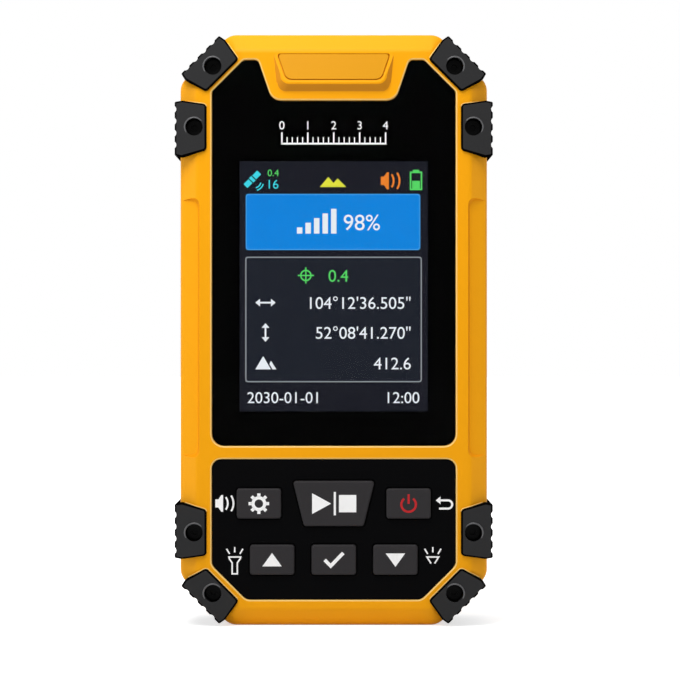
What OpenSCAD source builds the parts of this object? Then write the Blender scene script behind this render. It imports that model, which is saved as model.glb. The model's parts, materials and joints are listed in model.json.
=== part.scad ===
// Hand-held satellite land area meter: a two-part moulded housing with a display window, six rubber
// keys, rubber bumpers, a torch and a covered charging port.
// Every piece is drawn with the meter lying on its back: x across, y towards the top end, z out of
// the face. upright() then stands it on its bottom end with the face towards -Y.

/* [Housing] */
// Width across the housing sides
body_w = 71.3; // [70:0.1:76]
// Height from the bottom end to the top end
body_h = 137.2; // [134:0.1:146]
// Depth from the back face to the front lip
body_d = 25; // [24.5:0.5:29]
// Leg of the cut across each corner
corner_cut = 11.4; // [10.8:0.1:12.4]
// Radius at each end of a corner cut
corner_r = 4; // [2:0.5:6]
// Wall thickness of both halves
wall = 2.5; // [2.2:0.1:2.8]
// Height of the split line above the back face
split_z = 10; // [9:0.5:11]
// Width of the sloped front edge
front_bevel_w = 4; // [3.4:0.1:4.4]
// Depth of the sloped front edge
front_bevel_d = 3; // [2.4:0.1:3.4]
// Width and depth of the sloped rear edge
rear_bevel = 5; // [4:0.5:6]
// Radius along both sides of the sloped edges
edge_r = 2; // [1:0.1:2.1]
// Thickness of the front plate below the lip
front_plate = 3.5; // [3.3:0.1:4.2]
// Thickness of the gasket in the split line
seal_t = 0.8; // [0.5:0.1:1.2]
// Width of the outer lip that hides the gasket
seal_lip = 1.2; // [1:0.1:1.5]

/* [Side grips] */
// Length of the shallow grip scoop in each side's sloped edge
grip_len = 61; // [48:0.2:64]
// Rise of the scoop's middle above the middle of the side
grip_rise = 0.5; // [0:0.1:1]
// Reach of the scoop onto the face
grip_w = 4.6; // [4.2:0.1:5]
// Depth of the scoop's floor below the lip at its inner end
grip_depth = 0.9; // [0.5:0.1:1]
// Height at which the scoop runs out above the foot of the sloped edge
grip_out = 0.15; // [0.1:0.05:0.3]
// Slope of the scoop's walls, as run over depth
grip_flare = 0.4; // [0.2:0.1:1.2]
// Radius of the scoop's inner corners
grip_r = 2.2; // [1:0.1:4]

/* [Display window] */
// Width of the frame beside the window
side_rim = 7.4; // [7:0.05:8]
// Width of the frame above the window
top_rim = 6.1; // [5.4:0.05:7]
// Leg of the cut across the window's top corners
window_cut = 7.4; // [6.6:0.1:8]
// Radius of the window's bottom corners
window_r = 2.8; // [1.5:0.1:4]
// Radius of the window's top corners
ear_r = 1.2; // [0.6:0.1:1.4]
// Thickness of the window
window_t = 1.5; // [1:0.1:1.6]
// Depth of the window and keypad panel below the lip
panel_sink = 0.4; // [0.2:0.1:0.6]
// Thickness of the black mask under the window
mask_t = 0.25; // [0.15:0.05:0.4]
// Gap round the window and the keypad panel
panel_gap = 0.12; // [0.05:0.01:0.2]

/* [Visor] */
// Width of the visor where it leaves the top rim
visor_w = 35; // [33:0.5:36]
// Width of the visor at its lower end
visor_low_w = 28.6; // [26:0.2:30]
// Reach of the visor down into the window
visor_len = 9.4; // [8.6:0.1:10]
// Radius of the visor's lower corners
visor_r = 3; // [2:0.1:4]
// Height of the visor's lower end above the lip
visor_rise = 1.5; // [1:0.1:1.8]
// Margin from the visor's edge to the foot of the raised field
visor_foot = 1.8; // [1.4:0.1:2.2]
// Margin from the visor's edge to the top of the raised field
visor_step = 3.8; // [3.2:0.1:4]
// Distance of the raised field's upper end from the sloped top edge
visor_head = 0.2; // [0.1:0.05:0.3]
// Margin from the visor's edge to the inlay plate
plate_step = 4.75; // [4.4:0.05:5.2]
// Distance of the inlay plate from the sloped top edge
plate_head = 0.15; // [0.1:0.05:0.3]
// Gap round the inlay plate
plate_gap = 0.22; // [0.1:0.02:0.24]
// Radius of the raised field's and the plate's lower corners
plate_r = 1.9; // [1:0.1:2.4]
// Thickness of the inlay plate
plate_t = 0.8; // [0.5:0.1:1]

/* [Screen] */
// Width of the lit screen
screen_w = 43.2; // [40:0.2:44]
// Distance of the lit screen from the window's upper edge
screen_head = 23.6; // [23:0.1:26]
// Height of the lit screen above the window's lower edge
screen_up = 8.2; // [8.2:0.1:9]
// Border of the display panel beside and above the lit screen
lcd_border = 3.3; // [2.4:0.1:3.4]
// Border of the display panel below the lit screen
lcd_foot = 6.8; // [5:0.1:6.8]
// Thickness of the display panel
lcd_t = 2.4; // [2:0.1:2.8]
// Gap round the display panel in its opening
lcd_gap = 0.2; // [0.1:0.05:0.3]

/* [Keypad] */
// Width of the frame below the keypad panel
bottom_rim = 6.15; // [5.4:0.05:6.4]
// Height of the keypad panel
keypad_h = 32.55; // [32:0.05:34]
// Height of the strip between the keypad panel and the window
divider = 3; // [2.6:0.1:4]
// Leg of the cut across the panel's bottom corners
keypad_cut = 8; // [7:0.1:8.4]
// Radius of the panel's corners
keypad_r = 2.2; // [1:0.1:2.6]
// Thickness of the keypad panel
panel_t = 1.2; // [0.8:0.1:1.5]
// Width of the plain keys
key_w = 10.3; // [9:0.1:11]
// Height of the plain keys
key_h = 7; // [6:0.1:7.4]
// Width of the start key along its upper edge
start_w = 19; // [17:0.2:20]
// Width of the start key along its lower edge
start_low_w = 13.8; // [12:0.2:15]
// Height of the start key
start_h = 10.5; // [9:0.1:10.8]
// Corner radius of the keys
key_r = 0.7; // [0.4:0.1:1.2]
// Height of the upper row of keys above the panel's lower edge
upper_row = 22.3; // [22:0.1:22.8]
// Height of the lower row of keys above the panel's lower edge
lower_row = 9.3; // [9.1:0.1:9.6]
// Distance of the outer keys of the upper row from the middle
upper_pitch = 17.3; // [16.8:0.1:17.6]
// Distance of the outer keys of the lower row from the middle
lower_pitch = 14.25; // [13.6:0.05:14.6]
// Height of the keys above the panel
key_proud = 0.9; // [0.5:0.1:1.4]
// Travel of a pressed key
key_travel = 0.8; // [0.5:0.1:1]
// Gap round each key in its opening
key_gap = 0.25; // [0.15:0.05:0.35]
// Sloped edge round the top of each key
key_edge = 0.3; // [0.2:0.05:0.5]
// Reach of the rim that keeps each key in
key_rim = 0.7; // [0.5:0.1:0.8]
// Thickness of the silicone sheet round the keys
mat_t = 0.8; // [0.6:0.1:0.9]

/* [Bumpers] */
// Reach of the bumpers past the housing
bumper_out = 1.1; // [0.8:0.1:1.6]
// Height of the bumpers above the front lip
bumper_proud = 0.9; // [0.6:0.1:1.4]
// Depth of the bumper seats below the front lip
bumper_seat = 2.1; // [1.8:0.1:2.3]
// Sloped edge round the bumpers' front and back
bumper_edge = 0.4; // [0.2:0.1:0.6]
// Gap between the bumpers and the housing
bumper_gap = 0.05; // [0.02:0.01:0.1]
// Length of the corner bumpers from the middle of the corner cut towards the side
corner_bumper_side = 6.7; // [6:0.1:6.8]
// Length of the corner bumpers from the middle of the corner cut towards the end
corner_bumper_end = 6.3; // [5.6:0.1:6.4]
// Reach of the corner bumpers inwards from the corner cut
corner_bumper_in = 5.9; // [5.2:0.1:6]
// Drawing-in of the corner bumpers at the end nearest the side
corner_taper_side = 1.5; // [0.6:0.1:1.8]
// Drawing-in of the corner bumpers at the other end
corner_taper_end = 0.9; // [0.4:0.1:1.4]
// Offset of the corner bumpers' waves from the middle of the corner cut, towards the side
corner_wave_aside = 0.4; // [0:0.1:0.6]
// Distance of the side bumpers' screws from the nearest end
side_bumper_at = 21.75; // [20.8:0.05:23]
// Length of the side bumpers from the screw towards the nearest end
side_bumper_up = 6.1; // [5.6:0.1:6.4]
// Length of the side bumpers from the screw towards the middle
side_bumper_down = 6.9; // [6.4:0.1:7.6]
// Reach of the side bumpers inwards from the side
side_bumper_in = 6.2; // [6:0.05:6.25]
// Drawing-in of the side bumpers at the end nearest the corner
side_taper_up = 0.8; // [0.4:0.1:1.4]
// Drawing-in of the side bumpers at the end nearest the middle
side_taper_down = 1.6; // [1:0.1:2]
// Distance of the bend in a bumper's ends from the housing's outer face
bumper_bend = 0.6; // [0.3:0.1:0.9]
// Drawing-in of the bumpers' tips past that bend
tip_taper = 0.3; // [0.1:0.1:0.5]
// Radius of the bumpers' inner corners
bumper_in_r = 0.9; // [0.5:0.1:1.2]
// Radius of the bumpers' outer corners
bumper_tip_r = 0.35; // [0.25:0.05:0.7]
// Number of grip waves in a bumper's outer face
wave_count = 4; // [2:1:4]
// Radius of the grip waves
wave_r = 0.95; // [0.8:0.05:1.2]
// Depth of the grip waves
wave_depth = 0.4; // [0.3:0.05:0.6]
// Spacing of the grip waves
wave_pitch = 2.75; // [2.5:0.05:2.9]

/* [Fasteners] */
// Shank radius of the case screws
screw_r = 1; // [0.9:0.05:1.1]
// Head radius of the case screws
head_r = 1.8; // [1.6:0.05:1.8]
// Head height of the case screws
head_h = 1.4; // [1.2:0.1:1.6]
// Depth of the screw heads below the bumpers' face
head_sink = 3.5; // [3:0.1:3.8]
// Gap round the screw heads in their wells
head_gap = 0.2; // [0.1:0.05:0.25]
// Gap round the screw shanks
shank_gap = 0.15; // [0.1:0.05:0.2]
// Width of the hexagon socket across its flats
hex_w = 1.5; // [1.3:0.1:1.6]
// Distance of the corner screws from the corner cut
corner_screw_in = 2.85; // [2.75:0.05:2.95]
// Distance of the side screws from the side
side_screw_in = 3.4; // [3.2:0.05:3.5]
// Radius of the screw bosses
boss_r = 2.6; // [2.5:0.05:2.65]
// Length of the threaded inserts
insert_len = 4; // [3:0.5:5]
// Wall thickness of the threaded inserts
insert_wall = 0.55; // [0.45:0.05:0.6]
// Shank radius of the board screws
board_screw_r = 0.7; // [0.6:0.05:0.8]

/* [Electronics] */
// Thickness of the circuit board
board_t = 1.6; // [1:0.1:1.8]
// Gap between the circuit board and the screw bosses
board_edge_gap = 0.35; // [0.3:0.05:0.6]
// Distance between the front plate and the circuit board
board_gap = 2.15; // [2.1:0.05:2.4]
// Side of the square patch antenna
antenna_w = 18; // [15:0.5:18]
// Thickness of the patch antenna
antenna_t = 2; // [1.5:0.1:2]
// Width of the battery cell
cell_w = 35; // [30:0.5:38]
// Distance of the battery cell from the top end
cell_head = 46.5; // [45:0.5:58]
// Thickness of the battery cell
cell_t = 10; // [8:0.5:10.5]
// Height of the battery cell above the bottom end
cell_up = 30; // [28:0.5:32]
// Radius of the buzzer
buzzer_r = 6; // [5:0.5:7]
// Height of the buzzer
buzzer_h = 5; // [4:0.5:5.5]
// Distance of the buzzer from the board's side
buzzer_edge = 6.3; // [5:0.1:7]
// Width of the receiver's shield can
can_w = 16; // [12:0.5:16]
// Height of the receiver's shield can
can_h = 12; // [10:0.5:13]
// Thickness of the receiver's shield can
can_t = 2.6; // [2:0.1:3]
// Distance of the receiver's shield can from the middle
can_x = 8; // [8:0.5:10]
// Side of the square main chip
chip_w = 10; // [8:0.5:14]
// Thickness of the main chip
chip_t = 1.2; // [0.8:0.1:1.4]
// Width of the display's flat cable
ribbon_w = 20; // [16:0.5:24]
// Reach of the flat cable below the display
ribbon_drop = 4; // [3:0.1:4.5]

/* [Top end] */
// Distance of the torch from the side
torch_in = 23.5; // [22:0.5:25]
// Radius of the torch lens
torch_r = 2.7; // [2:0.1:3]
// Distance of the charging port from the side
port_in = 24.5; // [23:0.5:25.5]
// Width of the charging port
port_w = 9; // [8.6:0.1:9.4]
// Height of the charging port
port_h = 3.2; // [3:0.1:3.4]
// Width of the port cover
cover_w = 13.6; // [13:0.1:14.4]
// Thickness of the port cover
cover_t = 1.1; // [0.9:0.1:1.2]
// Gap round the port cover
cover_gap = 0.25; // [0.2:0.05:0.35]
// Radius of the cover's hinge pins
hinge_pin_r = 0.35; // [0.3:0.05:0.4]

/* [Rear pocket] */
// Distance of the strap pocket from the side
strap_in = 20.5; // [18.5:0.5:22.5]
// Height of the strap pocket above the bottom end
strap_y = 12; // [11:0.5:13]
// Width of the strap pocket
strap_w = 9; // [7:0.5:10]
// Height of the strap pocket
strap_h = 7.5; // [6.5:0.5:8]
// Depth of the strap pocket
strap_d = 5; // [4.5:0.5:6]
// Radius of the strap bar
bar_r = 1; // [0.8:0.1:1.2]

/* [Hidden] */
// Straight steps in each rounded corner
arc_steps = 6;
// Straight steps in each rounding along the sloped edges
edge_steps = 3;
$fn = 48;
// Smallest radius of an outline corner
least_r = 0.6;
// Overlap that makes a cut run through a face
past = 1;
// Clearance of pieces that seat without touching
seat = 0.05;

// Levels out of the face
lip = body_d;
front_z = lip - panel_sink;
ledge_z = front_z - window_t - mask_t;
panel_ledge_z = front_z - panel_t;
inner_z = lip - front_plate;
bumper_z = lip + bumper_proud;
bumper_seat_z = lip - bumper_seat;
head_seat_z = bumper_z - head_sink - head_h;
board_z = inner_z - board_gap;
board_back_z = board_z - board_t;
lcd_z = ledge_z - seat;
total_d = lip + visor_rise;
boss_top_z = split_z - seal_t;

// Heights up the face
keypad_y = bottom_rim;
keypad_top = keypad_y + keypad_h;
window_y = keypad_top + divider;
window_top = body_h - top_rim;
screen_y = window_y + screen_up;
screen_h = window_top - screen_head - screen_y;
lcd_y = screen_y - lcd_foot;
lcd_top = screen_y + screen_h + lcd_border;
lcd_w = screen_w + 2 * lcd_border;
window_half = body_w / 2 - side_rim;
visor_low = window_top - visor_len;
visor_run = (visor_w - visor_low_w) / 2 / visor_len;
visor_top = body_h - front_bevel_w - edge_r * tan(atan(front_bevel_d / front_bevel_w) / 2);
visor_lean = visor_rise / (visor_top - visor_head - visor_low - visor_step);
visor_root = lip - visor_rise - visor_lean * (visor_step - visor_foot);
inner_top = body_h - wall;
cell_len = body_h - cell_up - cell_head;

// Places across the face
board_inset = side_screw_in + boss_r + board_edge_gap;
board_top_y = body_h - board_inset;
buzzer_x = body_w / 2 - board_inset - buzzer_edge - buzzer_r;
torch_x = body_w / 2 - torch_in;
port_x = body_w / 2 - port_in;
strap_x = body_w / 2 - strap_in;

// Names and directions of the four quarters
QUARTERS = [
    ["top_left", -1, 1],
    ["top_right", 1, 1],
    ["bottom_left", -1, -1],
    ["bottom_right", 1, -1]
];

// Name, place, upper width, lower width and height of each key
KEYS = [
    ["key_settings", -upper_pitch, upper_row, key_w, key_w, key_h],
    ["key_start_stop", 0, upper_row, start_w, start_low_w, start_h],
    ["key_power", upper_pitch, upper_row, key_w, key_w, key_h],
    ["key_up", -lower_pitch, lower_row, key_w, key_w, key_h],
    ["key_enter", 0, lower_row, key_w, key_w, key_h],
    ["key_down", lower_pitch, lower_row, key_w, key_w, key_h]
];

// Colours
yellow = "#FDAB1C";
rubber = "#2E2E2E";
black = "#0A0A0B";
key_grey = "#2F2E2F";
steel = "#8C8F94";
brass = "#B5924C";
board_green = "#1F5A38";
chip_black = "#1B1B1E";

// Unit vector along v
function unit(v) = v / norm(v);
// Vector turned a quarter turn to the left
function left_of(v) = [-v[1], v[0]];
// Corner of a closed outline, counted round
function at(pts, i) = pts[(i + len(pts)) % len(pts)];
// Outline moved inwards by d, or outwards where d is negative
function inset(pts, d) = [
    for (i = [0:len(pts) - 1])
        let (u = unit(pts[i] - at(pts, i - 1)), v = unit(at(pts, i + 1) - pts[i]))
        pts[i] + d * (left_of(u) + left_of(v)) / (1 + u * v)
];
// Arc of radius r that rounds the corner b between its neighbours a and c
function corner_arc(a, b, c, r, steps = arc_steps) =
    let (
        u = unit(a - b),
        v = unit(c - b),
        half = acos(u * v) / 2,
        mid = b + unit(u + v) * r / sin(half),
        first = b + u * r / tan(half) - mid,
        start = atan2(first[1], first[0]),
        turn = sign(cross(b - a, c - b)) * (180 - 2 * half)
    )
    [for (k = [0:steps]) let (angle = start + turn * k / steps) mid + r * [cos(angle), sin(angle)]];
// Outline with its corners rounded by one radius, or by a list of radii
function rounded(pts, r) = [
    for (i = [0:len(pts) - 1])
        each corner_arc(at(pts, i - 1), pts[i], at(pts, i + 1), is_list(r) ? r[i] : r)
];
// Corners of a rectangle round the origin
function box_corners(w, h) = [[-w / 2, -h / 2], [w / 2, -h / 2], [w / 2, h / 2], [-w / 2, h / 2]];

// Housing outline, moved inwards by d
body_corners = [
    [corner_cut - body_w / 2, 0],
    [body_w / 2 - corner_cut, 0],
    [body_w / 2, corner_cut],
    [body_w / 2, body_h - corner_cut],
    [body_w / 2 - corner_cut, body_h],
    [corner_cut - body_w / 2, body_h],
    [-body_w / 2, body_h - corner_cut],
    [-body_w / 2, corner_cut]
];
function body_loop(d) = rounded(inset(body_corners, d), max(corner_r - d, least_r));

// Width and depth of a sloped edge on a surface that lies d below the housing's own
function slope_w(w, d, depth) = w * (1 + depth * (norm([1 / w, 1 / d]) - 1 / d));
function slope_d(w, d, depth) = d * (1 + depth * (norm([1 / w, 1 / d]) - 1 / w));

// Inset and level of the corners of the housing's edge, on a surface that lies depth below it
function edge_corners(depth) = [
    [slope_w(rear_bevel, rear_bevel, depth), depth],
    [depth, slope_d(rear_bevel, rear_bevel, depth)],
    [depth, lip - slope_d(front_bevel_w, front_bevel_d, depth)],
    [slope_w(front_bevel_w, front_bevel_d, depth), lip - depth]
];
// The same edge with its corners rounded
function edge_profile(depth) =
    let (pts = concat([[body_w / 4, depth]], edge_corners(depth), [[body_w / 4, lip - depth]]))
    [for (i = [1:len(pts) - 2]) each corner_arc(pts[i - 1], pts[i], pts[i + 1], edge_r - depth, edge_steps)];

// Window outline, moved inwards by d
window_corners = [
    [-window_half, window_y],
    [window_half, window_y],
    [window_half, window_top - window_cut],
    [window_half - window_cut, window_top],
    [visor_w / 2, window_top],
    [visor_low_w / 2, visor_low],
    [-visor_low_w / 2, visor_low],
    [-visor_w / 2, window_top],
    [window_cut - window_half, window_top],
    [-window_half, window_top - window_cut]
];
function window_radii(d) = [
    window_r - d, window_r - d, ear_r - d, ear_r - d, ear_r - d,
    visor_r + d, visor_r + d, ear_r - d, ear_r - d, ear_r - d
];
function window_loop(d) = rounded(inset(window_corners, d), window_radii(d));

// Visor outline, moved inwards by d and ending at the height top
function visor_half(y, d) = visor_low_w / 2 + (y - visor_low) * visor_run - d * norm([1, visor_run]);
function visor_loop(d, top, r) = rounded([
    [-visor_half(visor_low + d, d), visor_low + d],
    [visor_half(visor_low + d, d), visor_low + d],
    [visor_half(top, d), top],
    [-visor_half(top, d), top]
], [r, r, least_r, least_r]);

// Grip scoop's outline at a depth below the lip
function grip_loop(sink) =
    let (
        near = body_w / 2 - grip_w + sink * grip_flare,
        far = body_w / 2 + 2 * grip_r,
        mid = body_h / 2 + grip_rise,
        half = grip_len / 2 - sink * grip_flare
    )
    rounded([[near, mid - half], [far, mid - half], [far, mid + half], [near, mid + half]], grip_r);

// Keypad panel outline, moved inwards by d
keypad_corners = [
    [keypad_cut - window_half, keypad_y],
    [window_half - keypad_cut, keypad_y],
    [window_half, keypad_y + keypad_cut],
    [window_half, keypad_top],
    [-window_half, keypad_top],
    [-window_half, keypad_y + keypad_cut]
];
function keypad_loop(d) = rounded(inset(keypad_corners, d), max(keypad_r - d, least_r));

// Outline of a key, moved inwards by d
function key_corners(k) = [
    [k[1] - k[4] / 2, keypad_y + k[2] - k[5] / 2],
    [k[1] + k[4] / 2, keypad_y + k[2] - k[5] / 2],
    [k[1] + k[3] / 2, keypad_y + k[2] + k[5] / 2],
    [k[1] - k[3] / 2, keypad_y + k[2] + k[5] / 2]
];
function key_loop(k, d) = rounded(inset(key_corners(k), d), max(key_r - d, 0.3));

// Corners of a bumper's outline, as distances out of the housing and along its outer face
function bumper_plan(reach, low, high, taper_low, taper_high) = [
    [-reach, low + taper_low], [-bumper_bend, low], [bumper_out, low + tip_taper],
    [bumper_out, high - tip_taper], [-bumper_bend, high], [-reach, high - taper_high]
];
// Outlines of the top right bumpers, moved inwards by d
function from_side(out, along) = [body_w / 2 + out, body_h - side_bumper_at + along];
side_bumper_plan =
    bumper_plan(side_bumper_in, -side_bumper_down, side_bumper_up, side_taper_down, side_taper_up);
side_bumper_corners = [for (p = side_bumper_plan) from_side(p[0], p[1])];
corner_mid = [body_w / 2 - corner_cut / 2, body_h - corner_cut / 2];
outward = [1, 1] / sqrt(2);
function from_corner(out, along) = corner_mid + out * outward + along * left_of(outward);
corner_bumper_plan =
    bumper_plan(corner_bumper_in, -corner_bumper_side, corner_bumper_end, corner_taper_side, corner_taper_end);
corner_bumper_corners = [for (p = corner_bumper_plan) from_corner(p[0], p[1])];
bumper_radii = [bumper_in_r, bumper_in_r, bumper_tip_r, bumper_tip_r, bumper_in_r, bumper_in_r];
function bumper_loop(corners, d) = rounded(inset(corners, d), [for (r = bumper_radii) max(r - d, 0.2)]);

// Places of the top right screws
side_screw = from_side(-side_screw_in, 0);
corner_screw = from_corner(-corner_screw_in, 0);

// Stands the meter on its bottom end, with the face towards -Y
module upright() {
    translate([0, total_d / 2, 0])
        rotate([90, 0, 0])
            children();
}

// Plate of a flat outline between two levels
module slab(low, high) {
    translate([0, 0, low])
        linear_extrude(high - low)
            children();
}

// Solid through outlines of equal point count at rising levels
module loft(levels, loops) {
    n = len(loops[0]);
    last = n * (len(levels) - 1);
    polyhedron(
        points = [for (k = [0:len(levels) - 1]) for (p = loops[k]) [p[0], p[1], levels[k]]],
        faces = concat(
            [[for (i = [0:n - 1]) i]],
            [[for (i = [0:n - 1]) last + n - 1 - i]],
            [
                for (k = [0:len(levels) - 2]) for (i = [0:n - 1])
                    let (j = (i + 1) % n, low = k * n, high = low + n)
                    [low + i, high + i, high + j, low + j]
            ]
        )
    );
}

// Repeats a top right piece in the quarter q, or in all four
module in_quarter(q) {
    translate([0, body_h / 2, 0])
        mirror([q[1] < 0 ? 1 : 0, 0, 0])
            mirror([0, q[2] < 0 ? 1 : 0, 0])
                translate([0, -body_h / 2, 0])
                    children();
}
module in_all_quarters() {
    for (q = QUARTERS)
        in_quarter(q)
            children();
}

// Upright cylinder at each of the eight case screws
module at_screws(low, high, r) {
    in_all_quarters()
        for (p = [side_screw, corner_screw])
            translate([p[0], p[1], low])
                cylinder(r = r, h = high - low);
}

// Housing's outer form, taken down by depth all over
module body_solid(depth = 0) {
    profile = depth < edge_r ? edge_profile(depth) : edge_corners(depth);
    loft([for (p = profile) p[1]], [for (p = profile) body_loop(p[0])]);
}

// Housing's outer form with a shallow grip scoop in the sloped front edge of each side
module gripped_body() {
    grip_foot = grip_out * (grip_w / (front_bevel_d - grip_depth - grip_out));
    difference() {
        body_solid();
        difference() {
            for (side = [0, 1])
                mirror([side, 0, 0])
                    loft([lip - front_bevel_d, lip + past], [grip_loop(front_bevel_d), grip_loop(-past)]);
            loft(
                [0, rear_bevel, lip - front_bevel_d, lip - grip_depth],
                [body_loop(rear_bevel), body_loop(-grip_foot), body_loop(-grip_foot), body_loop(grip_w)]
            );
        }
    }
}

// Leans a form that is drawn level with the lip, so that it rises towards the visor's lower end
module leaned() {
    multmatrix([[1, 0, 0, 0], [0, 1, 0, 0], [0, -visor_lean, 1, visor_lean * (visor_top - visor_head)]])
        children();
}

// Keeps what lies between two levels
module between(low, high) {
    intersection() {
        children();
        translate([-body_w, -body_h / 2, low])
            cube([2 * body_w, 2 * body_h, high - low]);
    }
}

// Places of the board screws: above the display and under the divider strip
post_r = 1.8;
post_x = 22;
post_gap = 0.8;
post_heights = [lcd_top + lcd_gap + post_r + post_gap, keypad_top + divider / 2 - post_gap];
board_posts = [for (side = [-1, 1]) for (y = post_heights) [side * post_x, y]];

// Torch and port levels, worked out from the board that carries them
port_z = board_back_z - port_h / 2;
port_wall_gap = 0.1;
port_len = 7.4;
torch_drop = 0.6;
torch_z = board_back_z - torch_drop;
cover_sink = 0.1;
cover_floor_gap = 0.2;
cover_pocket = cover_t + cover_sink + cover_floor_gap;
hinge_r = cover_t / 2;
hinge_y = body_h - cover_sink - hinge_r;
hinge_back = 0.35;
hinge_drop = 1.3;
hinge_z = port_z - port_h / 2 - hinge_drop;
cover_over = 1.9;
cover_top_z = port_z + port_h / 2 + cover_over;
nail_r = 1.6;
hinge_pin_len = 0.8;
pin_gap = 0.05;

// Hole for the torch lens, and the charging port's opening, cover pocket, nail dip and hinge bores
module top_end_cuts() {
    translate([-torch_x, inner_top - past, torch_z])
        rotate([-90, 0, 0])
            cylinder(r = torch_r + panel_gap, h = wall + 2 * past);
    translate([port_x, inner_top - past, port_z])
        rotate([-90, 0, 0])
            linear_extrude(wall + 2 * past)
                polygon(rounded(box_corners(port_w + 2 * port_wall_gap, port_h + 2 * port_wall_gap), 0.8));
    cover_low = hinge_z - hinge_r - hinge_back;
    cover_high = cover_top_z + cover_gap;
    translate([port_x - cover_w / 2 - cover_gap, body_h - cover_pocket, cover_low])
        cube([cover_w + 2 * cover_gap, cover_pocket + past, cover_high - cover_low]);
    translate([port_x, body_h, cover_high])
        sphere(r = nail_r);
    translate([port_x - cover_w / 2 - hinge_pin_len - pin_gap, hinge_y, hinge_z])
        rotate([0, 90, 0])
            cylinder(r = hinge_pin_r + pin_gap, h = cover_w + 2 * hinge_pin_len + 2 * pin_gap);
}

// Moulded front half: window and keypad pockets, visor, bumper seats, bosses and board posts
module front_housing() {
    color(yellow)
        difference() {
            union() {
                difference() {
                    between(split_z, lip + past)
                        gripped_body();
                    slab(split_z - past, inner_z)
                        polygon(body_loop(wall));
                }
                at_screws(split_z, inner_z + seat, boss_r);
                for (p = board_posts)
                    translate([p[0], p[1], board_z])
                        cylinder(r = post_r, h = board_gap + seat);
                leaned()
                    loft(
                        [visor_root - front_plate / 8, visor_root, lip],
                        [visor_loop(visor_foot, visor_top, plate_r + 0.6),
                         visor_loop(visor_foot, visor_top, plate_r + 0.6),
                         visor_loop(visor_step, visor_top, plate_r + 0.3)]
                    );
            }
            slab(ledge_z, lip + past)
                polygon(window_loop(0));
            translate([0, (lcd_y + lcd_top) / 2, 0])
                slab(inner_z - past, ledge_z + past)
                    square([lcd_w + 2 * lcd_gap, lcd_top - lcd_y + 2 * lcd_gap], center = true);
            slab(panel_ledge_z, lip + past)
                polygon(keypad_loop(0));
            for (k = KEYS)
                slab(inner_z - past, lip)
                    polygon(key_loop(k, -key_gap));
            in_all_quarters()
                for (corners = [side_bumper_corners, corner_bumper_corners])
                    slab(bumper_seat_z, lip + past)
                        polygon(bumper_loop(corners, -bumper_gap));
            at_screws(split_z - past, lip, screw_r + shank_gap);
            at_screws(head_seat_z, lip, head_r + head_gap);
            leaned()
                slab(lip - plate_t, lip + past)
                    polygon(visor_loop(plate_step - plate_gap, visor_top - plate_head + plate_gap / 2, plate_r));
            for (p = board_posts)
                translate([p[0], p[1], board_z - past])
                    cylinder(r = board_screw_r + seat, h = past + board_gap);
            top_end_cuts();
        }
}

// Places of the buzzer and its slots
buzzer_y = lcd_top - buzzer_r - 1;
slot_w = 1.2;
slot_len = 7;
slot_pitch = 2.6;
cradle_t = 1.2;
cradle_h = 5;
cradle_gap = 0.3;
tape_t = 0.5;
strap_wall = 1.5;
bar_z = bar_r + 0.5;
bar_hold = 1;
cell_z = wall + tape_t;

// Moulded rear half: screw bosses, battery cradle, sound slots and strap pocket
module rear_housing() {
    color(yellow)
        difference() {
            union() {
                difference() {
                    between(-past, split_z)
                        gripped_body();
                    between(-past, split_z + past)
                        body_solid(wall);
                }
                intersection() {
                    body_solid();
                    at_screws(wall - seat, split_z, boss_r);
                }
                translate([0, cell_up + cell_len / 2, 0])
                    slab(wall - seat, wall + cradle_h)
                        difference() {
                            square([cell_w + 2 * cradle_gap + 2 * cradle_t,
                                    cell_len + 2 * cradle_gap + 2 * cradle_t], center = true);
                            square([cell_w + 2 * cradle_gap, cell_len + 2 * cradle_gap], center = true);
                            square([cell_w / 2, 2 * cell_len], center = true);
                            square([2 * cell_w, cell_len / 2], center = true);
                        }
                translate([strap_x, strap_y, 0])
                    slab(wall - seat, strap_d + strap_wall)
                        square([strap_w + 2 * strap_wall, strap_h + 2 * strap_wall], center = true);
            }
            slab(boss_top_z, split_z + past)
                polygon(body_loop(seal_lip));
            at_screws(boss_top_z - insert_len - seat, split_z, screw_r + insert_wall + 2 * seat);
            translate([strap_x, strap_y, 0])
                slab(-past, strap_d)
                    polygon(rounded(box_corners(strap_w, strap_h), 1));
            translate([strap_x - strap_w / 2 - bar_hold - seat, strap_y, bar_z])
                rotate([0, 90, 0])
                    cylinder(r = bar_r + seat, h = strap_w + 2 * bar_hold + 2 * seat);
            for (k = [-1, 0, 1])
                translate([-buzzer_x, buzzer_y + k * slot_pitch, 0])
                    slab(-past, wall + past)
                        polygon(rounded(box_corners(slot_len, slot_w), slot_w / 2 - 0.01));
        }
}

// Flat gasket on the rear rim and bosses
module housing_seal() {
    color(rubber)
        slab(boss_top_z, split_z)
            difference() {
                polygon(body_loop(seal_lip + seat));
                difference() {
                    polygon(body_loop(wall));
                    in_all_quarters()
                        for (p = [side_screw, corner_screw])
                            translate(p)
                                circle(r = boss_r);
                }
                in_all_quarters()
                    for (p = [side_screw, corner_screw])
                        translate(p)
                            circle(r = screw_r + shank_gap);
            }
}

// Clear cover over the screen
module display_window() {
    color(black)
        slab(front_z - window_t, front_z)
            polygon(window_loop(panel_gap));
}

// Black adhesive mask that frames the lit screen
module window_mask() {
    mask_margin = 0.2;
    color(black)
        slab(ledge_z, ledge_z + mask_t)
            difference() {
                polygon(window_loop(panel_gap + mask_margin));
                translate([0, screen_y + screen_h / 2])
                    square([screen_w + 2 * mask_margin, screen_h + 2 * mask_margin], center = true);
            }
}

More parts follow.
